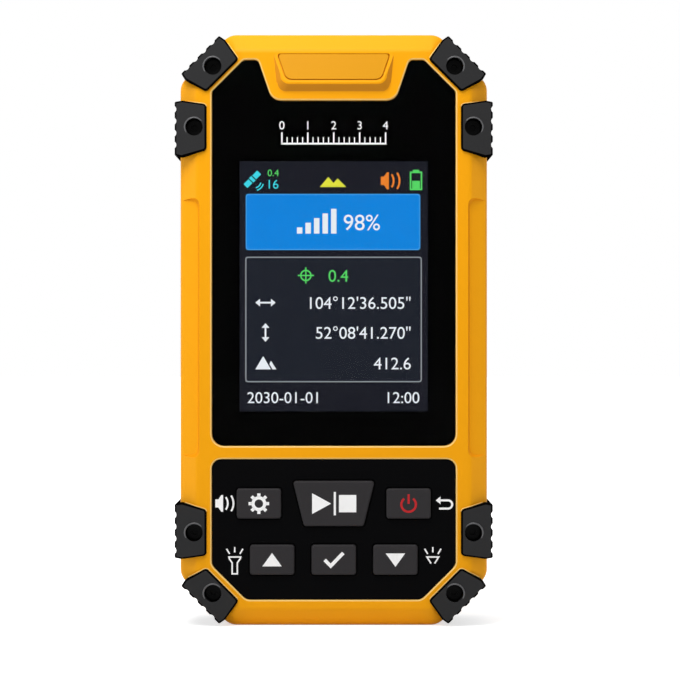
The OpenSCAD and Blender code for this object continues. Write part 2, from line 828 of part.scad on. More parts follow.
// Bare inlay plate in the visor's raised field
module visor_plate() {
    color(yellow)
        leaned()
            slab(lip - plate_t, lip)
                polygon(visor_loop(plate_step, visor_top - plate_head, plate_r));
}

// Black panel round the keys
module keypad_panel() {
    color(black)
        slab(panel_ledge_z, front_z)
            difference() {
                polygon(keypad_loop(panel_gap));
                for (k = KEYS)
                    polygon(key_loop(k, -key_gap));
            }
}

// Silicone sheet round the keys, with a skirt that stands on the board
mat_margin = 2;
mat_skirt = 1.2;
mat_gap = 0.3;
module keymat() {
    color(rubber) {
        slab(inner_z - mat_t, inner_z)
            difference() {
                polygon(keypad_loop(mat_margin));
                for (k = KEYS)
                    polygon(key_loop(k, -key_rim - mat_gap));
            }
        slab(board_z, inner_z - mat_t)
            difference() {
                polygon(keypad_loop(mat_margin));
                polygon(keypad_loop(mat_margin + mat_skirt));
            }
    }
}

// Rubber key: cap with a sloped edge, keeper rim and contact nub
contact_r = 2.4;
contact_gap = 0.1;
module key(k) {
    top = front_z + key_proud;
    rim_z = inner_z - seat;
    color(key_grey) {
        loft(
            [rim_z - mat_t / 2, top - key_edge, top],
            [key_loop(k, 0), key_loop(k, 0), key_loop(k, key_edge)]
        );
        slab(rim_z - mat_t, rim_z)
            polygon(key_loop(k, -key_rim));
        translate([k[1], keypad_y + k[2], board_z + key_travel + contact_gap])
            cylinder(r = contact_r, h = rim_z - mat_t / 2 - board_z - key_travel - contact_gap);
    }
}

// Rubber bumper of the top right quarter: front leg bonded in its seat, outer wall, filled rear slope
// and the well through which a case screw is reached
module bumper(corners, screw, wave_mid, wave_dir) {
    color(rubber)
        difference() {
            loft(
                [0, bumper_edge, bumper_z - bumper_edge, bumper_z],
                [bumper_loop(corners, bumper_edge), bumper_loop(corners, 0),
                 bumper_loop(corners, 0), bumper_loop(corners, bumper_edge)]
            );
            between(-past, bumper_seat_z)
                body_solid(-bumper_gap);
            for (k = [0:wave_count - 1])
                translate(concat(wave_mid + (k - (wave_count - 1) / 2) * wave_pitch * wave_dir, -past))
                    cylinder(r = wave_r, h = bumper_z + 2 * past);
            translate([screw[0], screw[1], head_seat_z])
                cylinder(r = head_r + head_gap, h = bumper_z);
        }
}
wave_out = bumper_out + wave_r - wave_depth;
module corner_bumper(q) {
    in_quarter(q)
        bumper(corner_bumper_corners, corner_screw, from_corner(wave_out, -corner_wave_aside), left_of(outward));
}
module side_bumper(q) {
    in_quarter(q)
        bumper(side_bumper_corners, side_screw, from_side(wave_out, 0), [0, 1]);
}

// Socket screws that clamp the housing halves, deep in the bumpers' wells
module case_screws() {
    tip_z = boss_top_z - insert_len + 0.5;
    color(chip_black)
        difference() {
            union() {
                at_screws(tip_z, head_seat_z, screw_r);
                at_screws(head_seat_z, head_seat_z + head_h, head_r);
            }
            in_all_quarters()
                for (p = [side_screw, corner_screw])
                    translate([p[0], p[1], head_seat_z + head_h / 3])
                        cylinder(r = hex_w / sqrt(3), h = head_h, $fn = 6);
        }
}

// Threaded brass inserts in the rear bosses
module screw_inserts() {
    color(brass)
        difference() {
            at_screws(boss_top_z - insert_len, boss_top_z, screw_r + insert_wall + seat);
            at_screws(boss_top_z - insert_len - past, boss_top_z + past, screw_r + seat);
        }
}

// Colour display behind the window
module lcd_panel() {
    color("#1A1D26")
        translate([0, (lcd_y + lcd_top) / 2, 0])
            slab(lcd_z - lcd_t, lcd_z)
                square([lcd_w, lcd_top - lcd_y], center = true);
}

// Foam frame between the display and the board
ribbon_t = 0.3;
ribbon_hold = 3;
module lcd_cushion() {
    frame_w = 5;
    low = lcd_y + ribbon_hold + 1;
    color(rubber)
        translate([0, (low + lcd_top) / 2, 0])
            slab(board_z, lcd_z - lcd_t)
                difference() {
                    square([lcd_w, lcd_top - low], center = true);
                    square([lcd_w - 2 * frame_w, lcd_top - low - 2 * frame_w], center = true);
                }
}

// Flat cable from the display's underside to the board
module lcd_ribbon() {
    top = lcd_z - lcd_t;
    end_y = lcd_y - ribbon_drop;
    color("#C98A2B")
        translate([-ribbon_w / 2, 0, 0]) {
            translate([0, end_y, top - ribbon_t])
                cube([ribbon_w, lcd_y + ribbon_hold - end_y, ribbon_t]);
            translate([0, end_y, board_z])
                cube([ribbon_w, ribbon_t, top - board_z]);
        }
}

// Circuit board, clear of the screw bosses
module main_board() {
    color(board_green)
        difference() {
            slab(board_back_z, board_z)
                polygon(body_loop(board_inset));
            for (p = board_posts)
                translate([p[0], p[1], board_back_z - past])
                    cylinder(r = board_screw_r + 0.2, h = board_t + 2 * past);
        }
}

// Four pan head screws from the board into the front posts
module board_screws() {
    pan_r = 1.5;
    pan_h = 1;
    color(steel)
        for (p = board_posts)
            translate([p[0], p[1], board_back_z - pan_h])
                difference() {
                    union() {
                        cylinder(r = pan_r, h = pan_h);
                        cylinder(r = board_screw_r, h = pan_h + board_t + board_gap - 0.4);
                    }
                    for (turn = [0, 90])
                        rotate([0, 0, turn])
                            translate([-pan_r / 2, -0.2, -past])
                                cube([pan_r, 0.4, past + pan_h / 2]);
                }
}

// Ceramic patch antenna under the visor
module gps_antenna() {
    mid_y = lcd_top + lcd_gap + post_gap + antenna_w / 2;
    feed_r = 0.6;
    color("#C9B79C")
        translate([0, mid_y, 0])
            difference() {
                slab(board_z, board_z + antenna_t)
                    polygon(rounded(box_corners(antenna_w, antenna_w), 0.8));
                translate([0, antenna_w / 8, board_z + antenna_t / 2])
                    cylinder(r = feed_r, h = antenna_t);
            }
}

// Shield can of the satellite receiver on the board's back
module gps_module() {
    can_r = 0.6;
    color(steel)
        translate([-can_x, lcd_top + post_gap + 2 * post_r + can_h / 2, 0])
            slab(board_back_z - can_t, board_back_z)
                polygon(rounded(box_corners(can_w, can_h), can_r));
}

// Main chip on the board's back
module processor() {
    chip_r = 0.3;
    color(chip_black)
        translate([0, cell_up + cell_len / 2, 0])
            slab(board_back_z - chip_t, board_back_z)
                polygon(rounded(box_corners(chip_w, chip_w), chip_r));
}

// Flat lithium cell in the rear cradle, on its adhesive tape
module battery_cell() {
    color("#9AA0A6")
        translate([0, cell_up + cell_len / 2, 0])
            slab(cell_z, cell_z + cell_t)
                polygon(rounded(box_corners(cell_w, cell_len), 1.5));
}
module battery_tape() {
    tape_margin = 3;
    color("#E8E4DA")
        translate([0, cell_up + cell_len / 2, 0])
            slab(wall, cell_z)
                square([cell_w - 2 * tape_margin, cell_len - 2 * tape_margin], center = true);
}

// Battery plug in its socket on the board, and the two leads to the cell
lead_r = 0.6;
lead_pitch = 2;
lead_run = 2;
lead_bend = 2;
socket = [7, 4.6, 3.2];
plug = [5.4, 3.2, 2.4];
plug_y = cell_up + cell_len + lead_run + lead_bend;
plug_z = board_back_z - socket[2];
module battery_socket() {
    color("#EFEDE6")
        translate([0, plug_y, 0])
            slab(plug_z, board_back_z)
                square([socket[0], socket[1]], center = true);
}
module battery_plug() {
    color("#F4F2EC")
        translate([0, plug_y, 0])
            slab(plug_z - plug[2], plug_z)
                polygon(rounded(box_corners(plug[0], plug[1]), 0.4));
}
module battery_leads() {
    lead_z = cell_z + cell_t * 0.4;
    color("#B3261E")
        for (side = [-1, 1])
            translate([side * lead_pitch / 2, cell_up + cell_len, lead_z]) {
                rotate([-90, 0, 0])
                    cylinder(r = lead_r, h = lead_run);
                translate([0, lead_run, lead_bend])
                    rotate([90, 0, 90])
                        rotate([0, 0, -90])
                            rotate_extrude(angle = 90)
                                translate([lead_bend, 0])
                                    circle(r = lead_r);
                translate([0, lead_run + lead_bend, lead_bend])
                    cylinder(r = lead_r, h = plug_z - plug[2] - lead_z - lead_bend);
            }
}

// Sounder on the board's back, and the membrane behind its slots
module buzzer() {
    color(chip_black)
        translate([-buzzer_x, buzzer_y, board_back_z - buzzer_h])
            difference() {
                cylinder(r = buzzer_r, h = buzzer_h);
                translate([0, 0, -past])
                    cylinder(r = buzzer_r / 5, h = past + buzzer_h / 3);
            }
}
module sound_membrane() {
    membrane_t = 0.3;
    color("#D9D9D4")
        translate([-buzzer_x, buzzer_y, wall])
            cylinder(r = slot_len / 2 + 1, h = membrane_t);
}

// Charging socket at the board's top edge
module charge_port() {
    shell_t = 0.35;
    shell_r = 0.8;
    back_t = 1;
    tongue_t = 0.7;
    tongue_gap = 1.1;
    color(steel)
        translate([port_x, inner_top - seat - port_len, port_z])
            rotate([-90, 0, 0]) {
                difference() {
                    linear_extrude(port_len)
                        polygon(rounded(box_corners(port_w, port_h), shell_r));
                    translate([0, 0, back_t])
                        linear_extrude(port_len)
                            polygon(rounded(box_corners(port_w - 2 * shell_t, port_h - 2 * shell_t),
                                            shell_r - shell_t));
                }
                translate([0, 0, back_t / 2])
                    linear_extrude(port_len - back_t - tongue_t)
                        square([port_w - 2 * tongue_gap, tongue_t], center = true);
            }
}

// Rubber cover over the charging port: lid, plug and hinge barrel with pins
module port_cover() {
    plug_len = 0.8;
    plug_gap = 0.4;
    lid_y = body_h - cover_sink - cover_t;
    color(rubber)
        translate([port_x, 0, 0]) {
            translate([-cover_w / 2, lid_y, hinge_z])
                cube([cover_w, cover_t, cover_top_z - hinge_z]);
            translate([-cover_w / 2, hinge_y, hinge_z])
                rotate([0, 90, 0])
                    cylinder(r = hinge_r, h = cover_w);
            translate([-cover_w / 2 - hinge_pin_len, hinge_y, hinge_z])
                rotate([0, 90, 0])
                    cylinder(r = hinge_pin_r, h = cover_w + 2 * hinge_pin_len);
            translate([0, lid_y - plug_len, port_z])
                rotate([-90, 0, 0])
                    linear_extrude(plug_len + seat)
                        polygon(rounded(box_corners(port_w - 2 * plug_gap, port_h - 2 * plug_gap), 0.5));
        }
}

// Torch: diode on the board's top edge, behind a flanged lens
lens_flange_t = 0.8;
module torch_led() {
    base = [5, 1, 4.4];
    dome_r = 1.5;
    color("#F2E9B8")
        translate([-torch_x, board_top_y, torch_z]) {
            translate([-base[0] / 2, 0, -base[2] / 2])
                cube([base[0], base[1], base[2]]);
            rotate([-90, 0, 0])
                cylinder(r = dome_r, h = base[1] + 0.6);
        }
}
module torch_lens() {
    lens_sink = 0.3;
    color("#DDE6EA")
        translate([-torch_x, inner_top - lens_flange_t, torch_z])
            rotate([-90, 0, 0]) {
                cylinder(r = torch_r + 0.9, h = lens_flange_t);
                cylinder(r = torch_r, h = lens_flange_t + wall - lens_sink);
            }
}

// Steel bar across the strap pocket
module strap_bar() {
    color(steel)
        translate([strap_x - strap_w / 2 - bar_hold, strap_y, bar_z])
            rotate([0, 90, 0])
                cylinder(r = bar_r, h = strap_w + 2 * bar_hold);
}

upright() front_housing();
upright() rear_housing();
upright() housing_seal();
upright() display_window();
upright() window_mask();
upright() visor_plate();
upright() keypad_panel();
upright() keymat();
upright() case_screws();
upright() screw_inserts();
upright() lcd_panel();
upright() lcd_cushion();
upright() lcd_ribbon();
upright() main_board();
upright() board_screws();
upright() gps_antenna();
upright() gps_module();
upright() processor();
upright() battery_cell();
upright() battery_tape();
upright() battery_leads();
upright() battery_plug();
upright() battery_socket();
upright() buzzer();
upright() sound_membrane();
upright() charge_port();
upright() port_cover();
upright() torch_led();
upright() torch_lens();
upright() strap_bar();
for (k = KEYS)
    upright() key(k);
for (q = QUARTERS)
    upright() corner_bumper(q);
for (q = QUARTERS)
    upright() side_bumper(q);
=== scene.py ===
"""Looks of a hand-held land area meter, dressed over its packed CAD model.

Every place is given the way the meter is drawn: x across the face, y up from the bottom end and z out
of the face, counted from the back face, in millimetres. on_face() turns that into metres of the frame.
"""

import json
import math

import bmesh
import bpy
from mathutils import Matrix, Vector


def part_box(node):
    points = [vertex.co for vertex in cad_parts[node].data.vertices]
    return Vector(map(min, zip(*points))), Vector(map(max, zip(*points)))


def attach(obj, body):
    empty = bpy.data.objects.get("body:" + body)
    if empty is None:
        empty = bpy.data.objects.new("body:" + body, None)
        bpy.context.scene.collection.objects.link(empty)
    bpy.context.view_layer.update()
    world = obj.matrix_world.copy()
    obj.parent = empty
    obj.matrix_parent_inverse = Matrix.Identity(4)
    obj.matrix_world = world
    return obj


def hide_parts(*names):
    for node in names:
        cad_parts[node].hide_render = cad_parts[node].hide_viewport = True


bl_info = {
    "name": "Land area meter",
    "version": (1, 0, 0),
    "blender": (4, 5, 0),
    "location": "View3D > Sidebar > Meter",
    "description": "Dresses the packed model of a hand-held land area meter",
    "category": "Object",
}

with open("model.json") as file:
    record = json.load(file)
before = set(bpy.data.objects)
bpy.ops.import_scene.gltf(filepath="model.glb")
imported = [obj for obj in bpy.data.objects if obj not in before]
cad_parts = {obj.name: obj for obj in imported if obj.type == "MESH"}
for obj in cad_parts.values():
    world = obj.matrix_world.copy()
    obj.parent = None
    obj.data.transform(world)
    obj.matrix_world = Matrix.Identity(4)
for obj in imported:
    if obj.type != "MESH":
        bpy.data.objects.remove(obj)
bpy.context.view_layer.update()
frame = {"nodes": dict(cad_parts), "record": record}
NODES = frame["nodes"]
BODY_OF = {node: body for body, nodes in frame["record"]["behaviour"]["bodies"].items() for node in nodes}

MM = 0.001
BACK_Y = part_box("rear_housing")[1].y
WHITE = (1.0, 1.0, 1.0, 1.0)

# Forms of the housing, in millimetres
BODY_W = (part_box("front_housing")[1].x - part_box("front_housing")[0].x) / MM
BODY_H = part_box("front_housing")[1].z / MM
VISOR_RISE = 1.5
SEAT_DEPTH = 2.1
CORNER_CUT = 11.4
CORNER_SEAT = 6.05
SIDE_SEAT = 6.5
WELL_R = 2.0

# How meshes are read and rounded: distance of joined vertices, slack in a level, greatest y of an upright
# face's normal and least of a level one's, turns at flat places, edges and sharp edges, facets of a rounding
JOIN = 0.002 * MM
LEVEL_GAP = 0.02
UPRIGHT = 0.2
LEVEL = 0.95
FLAT_TURN = math.radians(1.0)
EDGE_TURN = math.radians(24.0)
SHARP_TURN = math.radians(35.0)
ROUND_SEGMENTS = 3

# The photograph's frame, and the millimetres that one of its dots shows at the front lip
PICTURE_DOTS = 680
PICTURE_SCALE = 0.2312

QUARTERS = ("top_left", "top_right", "bottom_left", "bottom_right")
BUMPERS = [f"{place}_bumper_{quarter}" for quarter in QUARTERS for place in ("corner", "side")]

# Places in the list of the front housing's finishes: the plastic, a painted highlight for the rims, and
# painted shade for pockets, visor slopes and scoop walls
PLASTIC, RIM_HIGHLIGHT, POCKET_SHADE, VISOR_SHADE, SCOOP_SHADE = range(5)


def front_of(node):
    """Level of a node's front face above the back face."""
    return (BACK_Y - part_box(node)[0].y) / MM


LIP = front_of("front_housing") - VISOR_RISE
SPLIT = front_of("rear_housing")
BUMPER_BOXES = [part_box(node) for node in BUMPERS]


def middle_of(node):
    """Middle of a node across and up the face."""
    low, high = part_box(node)
    return (low.x + high.x) / 2 / MM, (low.z + high.z) / 2 / MM


def inset_of(x, y):
    """Distance of a place from the nearest of the housing's outer sides."""
    half = BODY_W / 2
    to_cuts = [(half + end - CORNER_CUT - abs(x)) / math.sqrt(2) for end in (y, BODY_H - y)]
    return min(half - abs(x), y, BODY_H - y, *to_cuts)


def is_at_bumper(x, y, reach):
    """Whether a place lies over a bumper's box or within reach of it."""
    return any(
        low.x / MM - reach < x < high.x / MM + reach and low.z / MM - reach < y < high.z / MM + reach
        for low, high in BUMPER_BOXES
    )


def is_on_seat(x, y):
    """Whether a place lies no farther in from the housing's outer sides than the bumpers' seats."""
    return inset_of(x, y) < CORNER_SEAT or BODY_W / 2 - abs(x) < SIDE_SEAT


def on_face(x, y, z):
    """Point of the frame for a place on the meter."""
    return Vector((x * MM, BACK_Y - z * MM, y * MM))


def ink(red, green, blue):
    """Linear colour of an 8-bit display colour."""
    shares = [level / 255 for level in (red, green, blue)]
    return tuple(c / 12.92 if c <= 0.04045 else ((c + 0.055) / 1.055) ** 2.4 for c in shares)


# Settings

def paint(label, words, colour):
    """Property for a colour."""
    return bpy.props.FloatVectorProperty(
        name=label, description=words, subtype="COLOR", size=3, min=0.0, max=1.0, default=colour
    )


def length(label, words, metres, lowest=0.0):
    """Property for a length."""
    return bpy.props.FloatProperty(
        name=label, description=words, subtype="DISTANCE", unit="LENGTH",
        min=lowest, default=metres, precision=6,
    )


def power(label, watts):
    """Property for the power of a lamp."""
    return bpy.props.FloatProperty(name=label, description="Power in watts", min=0.0, default=watts)


class MeterColours(bpy.types.PropertyGroup):
    """Colours of the meter's finishes and of its screen."""

    housing: paint("Housing", "Moulded plastic of both housing halves", ink(252, 170, 8))
    # Painted highlight: a light colour on the rounded rims round window and keypad and on the beads along the
    # bumpers' seats
    rim: paint("Housing rims", "Polished edge round window, keypad and bumpers", ink(255, 210, 120))
    # Painted shade: a darker tone for the slopes round the visor's field
    visor_wall: paint("Visor walls", "Shaded slope round the visor's raised field", ink(216, 140, 20))
    # Painted shade: a darker tone for the walls of the scooped grips
    scoop_wall: paint("Scoop walls", "Shaded wall round the scooped grips", ink(240, 154, 4))
    plate: paint("Visor plate", "Bare inlay plate in the visor", ink(221, 152, 15))
    bumper: paint("Bumpers", "Rubber of the corner and side bumpers", ink(34, 34, 35))
    # Painted shade: near-black for the bumpers' sloped edges, ends and tips
    bumper_edge: paint("Bumper edges", "Sloped edges and ends of the bumpers", ink(8, 8, 8))
    # Painted highlight: a lighter grey than the rubber, so that the collars' raised upper outer side shows as
    # a highlight
    collar: paint("Collars", "Raised collars of the screw wells", ink(84, 84, 86))
    # Painted shade: near-black for the walls of pockets, seats and wells, which otherwise show the yellow
    # plastic
    pocket: paint("Pockets", "Dark walls of the pockets, seats and screw wells", ink(9, 9, 10))
    key: paint("Keys", "Rubber of the keys", ink(39, 37, 39))
    panel: paint("Panel", "Black film of the keypad panel and the window's mask", ink(6, 6, 7))
    print_white: paint("White print", "Signs printed on panel, keys and window", ink(255, 255, 255))
    print_red: paint("Red print", "Sign on the power key", ink(190, 34, 38))
    screen: paint("Screen", "Dark ground of the lit screen", ink(16, 17, 27))
    box: paint("Box", "Ground of the framed box on the screen", ink(22, 26, 36))
    line: paint("Box line", "Outline of the framed box on the screen", ink(150, 155, 160))
    banner: paint("Banner", "Banner on the screen", ink(0, 130, 221))
    banner_edge: paint("Banner edge", "Lighter edge of the banner", ink(62, 154, 226))
    white: paint("White figures", "Figures on the screen", ink(236, 240, 244))
    green: paint("Green figures", "Green figures and battery on the screen", ink(86, 214, 100))
    cyan: paint("Cyan figures", "Satellite sign and count on the screen", ink(60, 214, 228))
    yellow: paint("Yellow sign", "Yellow sign on the screen", ink(226, 226, 60))
    orange: paint("Orange sign", "Speaker sign on the screen", ink(238, 132, 40))


class MeterSizes(bpy.types.PropertyGroup):
    """Roundings and print thickness, which the CAD model leaves sharp or bare."""

    visor: length("Visor", "Rounding of the visor's lower end and of the back's edges", 0.3 * MM)
    rim: length("Rim", "Rounding of the rims round window, keypad and bumpers", 0.32 * MM)
    seam: length("Seam", "Rounding where the housing halves meet and at small openings", 0.12 * MM)
    key: length("Key", "Rounding of the keys' edges", 0.14 * MM)
    thin: length("Thin parts", "Rounding of panel, window, visor plate and port cover", 0.05 * MM)
    film: length("Print", "Thickness of a printed sign", 0.02 * MM)


class MeterStage(bpy.types.PropertyGroup):
    """Camera and light."""

    distance: length("Distance", "From the camera to the front lip", 0.6)
    view_width: length("View width", "Of the picture at the front lip", PICTURE_DOTS * PICTURE_SCALE * MM)
    aim_x: length("Aim across", "Middle of the picture", 1.445 * MM, -1.0)
    aim_z: length("Aim up", "Middle of the picture", 66.25 * MM, -1.0)
    key_watts: power("Key light", 0.52)
    top_watts: power("Top light", 0.31)
    left_watts: power("Left light", 0.62)
    right_watts: power("Right light", 0.34)
    back_watts: power("Back light", 0.4)
    room: bpy.props.FloatProperty(
        name="Room light", description="Strength of the even light", min=0.0, default=0.3
    )


def colours():
    """Colours as they are set in the scene."""
    return bpy.context.scene.meter_colours


def sizes():
    """Sizes as they are set in the scene."""
    return bpy.context.scene.meter_sizes


# Shader nodes and finishes

def set_inputs(node, values):
    """Sets plain values on a node's sockets."""
    for label, value in values.items():
        node.inputs[label].default_value = value


def math_node(nodes, link, operation, *values):
    """Output of a math node that works on other outputs or plain numbers."""
    node = nodes.new("ShaderNodeMath")
    node.operation = operation
    for socket, value in zip(node.inputs, values):
        if isinstance(value, bpy.types.NodeSocket):
            link(value, socket)
        else:
            socket.default_value = value
    return node.outputs[0]


def new_group(name, inputs, outputs):
    """Empty shader node group with the named sockets."""
    group = bpy.data.node_groups.new(name, "ShaderNodeTree")
    for label, kind, value in inputs:
        group.interface.new_socket(name=label, in_out="INPUT", socket_type=kind).default_value = value
    for label, kind in outputs:
        group.interface.new_socket(name=label, in_out="OUTPUT", socket_type=kind)
    return group


def grain_group():
    """Fine moulded or cast texture as a bump height, from two noises on the piece's own coordinates."""
    group = new_group("fine_grain", [("Size", "NodeSocketFloat", 0.0003)], [("Height", "NodeSocketFloat")])
    nodes, link = group.nodes, group.links.new
    given, result = nodes.new("NodeGroupInput"), nodes.new("NodeGroupOutput")
    place = nodes.new("ShaderNodeTexCoord")
    scale = math_node(nodes, link, "DIVIDE", 1.0, given.outputs["Size"])
    fine, coarse = nodes.new("ShaderNodeTexNoise"), nodes.new("ShaderNodeTexVoronoi")
    fine.inputs["Detail"].default_value = 3.0
    for texture in (fine, coarse):
        link(place.outputs["Object"], texture.inputs["Vector"])
        link(scale, texture.inputs["Scale"])
    height = math_node(nodes, link, "MULTIPLY", fine.outputs["Fac"], coarse.outputs["Distance"])
    link(height, result.inputs["Height"])
    return group


def drift_group():
    """Slow drift of a finish's colour and roughness over the piece."""
    group = new_group(
        "tone_drift",
        [
            ("Color", "NodeSocketColor", (0.5, 0.5, 0.5, 1.0)),
            ("Drift", "NodeSocketFloat", 0.04),
            ("Patch", "NodeSocketFloat", 0.02),
            ("Roughness", "NodeSocketFloat", 0.5),
            ("Spread", "NodeSocketFloat", 0.06),
        ],
        [("Color", "NodeSocketColor"), ("Roughness", "NodeSocketFloat")],
    )
    nodes, link = group.nodes, group.links.new
    given, result = nodes.new("NodeGroupInput"), nodes.new("NodeGroupOutput")
    place = nodes.new("ShaderNodeTexCoord")
    noise = nodes.new("ShaderNodeTexNoise")
    noise.inputs["Detail"].default_value = 4.0
    link(place.outputs["Object"], noise.inputs["Vector"])
    link(math_node(nodes, link, "DIVIDE", 1.0, given.outputs["Patch"]), noise.inputs["Scale"])
    swing = math_node(nodes, link, "SUBTRACT", noise.outputs["Fac"], 0.5)
    tint = nodes.new("ShaderNodeVectorMath")
    tint.operation = "SCALE"
    link(given.outputs["Color"], tint.inputs[0])
    link(math_node(nodes, link, "MULTIPLY_ADD", swing, given.outputs["Drift"], 1.0), tint.inputs["Scale"])
    link(tint.outputs[0], result.inputs["Color"])
    rough = math_node(nodes, link, "MULTIPLY_ADD", swing, given.outputs["Spread"], given.outputs["Roughness"])
    link(rough, result.inputs["Roughness"])
    return group


SHARED_GROUPS = {"fine_grain": grain_group, "tone_drift": drift_group}


def group_node(nodes, name):
    """Node that places one of the shared groups, which is built at its first use."""
    node = nodes.new("ShaderNodeGroup")
    node.node_tree = bpy.data.node_groups.get(name) or SHARED_GROUPS[name]()
    return node


def finish(name, colour, roughness, grain, depth, drift=0.05, patch=12.0, spread=0.08, metallic=0.0,
           specular=0.3):
    """Procedural finish: drifting tone and roughness with a fine grain; grain, depth and patch are in mm."""
    material = bpy.data.materials.new(name)
    material.use_nodes = True
    nodes, link = material.node_tree.nodes, material.node_tree.links.new
    shader = nodes["Principled BSDF"]
    set_inputs(shader, {"Metallic": metallic, "Specular IOR Level": specular})
    tone = group_node(nodes, "tone_drift")
    set_inputs(tone, {"Color": (*colour, 1.0), "Drift": drift, "Patch": patch * MM})
    set_inputs(tone, {"Roughness": roughness, "Spread": spread})
    link(tone.outputs["Color"], shader.inputs["Base Color"])
    link(tone.outputs["Roughness"], shader.inputs["Roughness"])
    texture = group_node(nodes, "fine_grain")
    set_inputs(texture, {"Size": grain * MM})
    bump = nodes.new("ShaderNodeBump")
    set_inputs(bump, {"Strength": 1.0, "Distance": depth * MM})
    link(texture.outputs["Height"], bump.inputs["Height"])
    link(bump.outputs["Normal"], shader.inputs["Normal"])
    return material


def lit_finish(name, colour):
    """Finish of a lit figure on the screen: black by itself, with its colour from behind."""
    material = finish(name, ink(4, 4, 5), 0.5, 0.2, 0.0, specular=0.05)
    nodes, link = material.node_tree.nodes, material.node_tree.links.new
    shader = nodes["Principled BSDF"]
    tone = group_node(nodes, "tone_drift")
    set_inputs(tone, {"Color": (*colour, 1.0), "Drift": 0.04, "Patch": 8.0 * MM})
    link(tone.outputs["Color"], shader.inputs["Emission Color"])
    set_inputs(shader, {"Emission Strength": 1.0})
    return material


def clear_finish(name, colour, ior, roughness):
    """Clear cover or lens with a faint unevenness in its polish."""
    material = finish(name, colour, roughness, 0.8, 0.0, drift=0.02, spread=roughness, specular=0.5)
    shader = material.node_tree.nodes["Principled BSDF"]
    set_inputs(shader, {"Transmission Weight": 1.0, "IOR": ior})
    return material


# Mesh helpers

def new_piece(name, bm, material, body):
    """Object made of a finished bmesh, riding on a body."""
    mesh = bpy.data.meshes.new(name)
    bm.to_mesh(mesh)
    bm.free()
    mesh.materials.append(material)
    piece = bpy.data.objects.new(name, mesh)
    bpy.context.scene.collection.objects.link(piece)
    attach(piece, body)
    return piece


def paint_node(node, material):
    """Gives a CAD node, which keeps its shape, its finish."""
    NODES[node].data.materials.clear()
    NODES[node].data.materials.append(material)


def is_upright(face):
    """Whether a face stands square to the meter's face."""
    return abs(face.normal.y) < UPRIGHT


def is_level(z, level):
    """Whether a place is at a level."""
    return abs(z - level) < LEVEL_GAP


def is_edge(edge):
    """Whether the faces beside an edge meet at a clear angle."""
    return edge.is_manifold and edge.calc_face_angle() > EDGE_TURN


def copied(node):
    """Copy of a node's mesh with its seams closed."""
    bm = bmesh.new()
    bm.from_mesh(NODES[node].data)
    bmesh.ops.remove_doubles(bm, verts=bm.verts, dist=JOIN)
    return bm


def merged(node):
    """Copy of a node's mesh with its triangles joined to flat faces."""
    bm = copied(node)
    bmesh.ops.dissolve_degenerate(bm, dist=JOIN, edges=bm.edges)
    bmesh.ops.dissolve_limit(bm, angle_limit=FLAT_TURN, verts=bm.verts, edges=bm.edges)
    bm.normal_update()
    return bm


def mesh_of(curve):
    """Mesh of a curve or a text, which is removed."""
    carrier = bpy.data.objects.new(curve.name, curve)
    bpy.context.scene.collection.objects.link(carrier)
    bpy.context.view_layer.update()
    mesh = bpy.data.meshes.new_from_object(carrier.evaluated_get(bpy.context.evaluated_depsgraph_get()))
    bpy.data.objects.remove(carrier)
    bpy.data.curves.remove(curve)
    return mesh


def spot_of(verts):
    """Middle of some vertices as a place on the meter."""
    middle = sum((vert.co for vert in verts), Vector()) / len(verts)
    return middle.x / MM, middle.z / MM, (BACK_Y - middle.y) / MM


def chains(edges):
    """Runs of vertices along edges that meet end to end."""
    near = {}
    for edge in edges:
        for vert in edge.verts:
            near.setdefault(vert, []).append(edge.other_vert(vert))
    runs = []
    ends = sorted(near, key=lambda vert: (len(near[vert]), vert.index))
    left = set(near)
    for end in ends:
        if end not in left:
            continue
        run = [end]
        left.discard(end)
        while any(vert in left for vert in near[run[-1]]):
            run.append(next(vert for vert in near[run[-1]] if vert in left))
            left.discard(run[-1])
        if len(run) > 1:
            runs.append(run)
    return runs


def add_rounding(piece, name, widest, material):
    """Rounds the edges by their weight under a name; the rounded faces take a material slot."""
    rounding = piece.modifiers.new(name, "BEVEL")
    rounding.limit_method = "WEIGHT"
    rounding.edge_weight = name
    rounding.width = widest
    rounding.segments = ROUND_SEGMENTS
    rounding.profile = 0.5
    rounding.use_clamp_overlap = False
    rounding.miter_outer = "MITER_ARC"
    rounding.material = material


def soften(node, finishes, rounding=None, rims=None, part_of=None, rounded=-1):
    """Stands a copy of a CAD node in its place, with its edges rounded.

    rounding and rims are called with an edge's middle and the edge, and give the width of its rounding.
    part_of is called with a face's middle and the face, and says which of the finishes covers it. Rims take
    the second finish, and other rounded edges the one that rounded counts, or that of a face beside them.
    """
    bm = merged(node)
    widest = {}
    taken = set()
    for name, width_at in (("rims", rims), ("rounding", rounding)):
        if not width_at:
            continue
        weights = bm.edges.layers.float.new(name)
        widths = {}
        for edge in bm.edges:
            if edge not in taken and is_edge(edge):
                width = width_at(*spot_of(edge.verts), edge)
                if width:
                    widths[edge] = width
        taken.update(widths)
        widest[name] = max(widths.values())
        for edge, width in widths.items():
            edge[weights] = width / widest[name]
    for edge in bm.edges:
        edge.smooth = edge.is_manifold and edge.calc_face_angle() < SHARP_TURN
    for face in bm.faces:
        face.smooth = True
        if part_of:
            face.material_index = part_of(*spot_of(face.verts), face)
    piece = new_piece(node + "_soft", bm, finishes[0], BODY_OF[node])
    piece.data.attributes.remove(piece.data.attributes["custom_normal"])
    for material in finishes[1:]:
        piece.data.materials.append(material)
    for name, width in widest.items():
        # Rims take the rim finish, which on the front housing is a painted highlight
        add_rounding(piece, name, width, RIM_HIGHLIGHT if name == "rims" else rounded)
    normals = piece.modifiers.new("even_faces", "WEIGHTED_NORMAL")
    normals.keep_sharp = True
    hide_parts(node)
    return piece


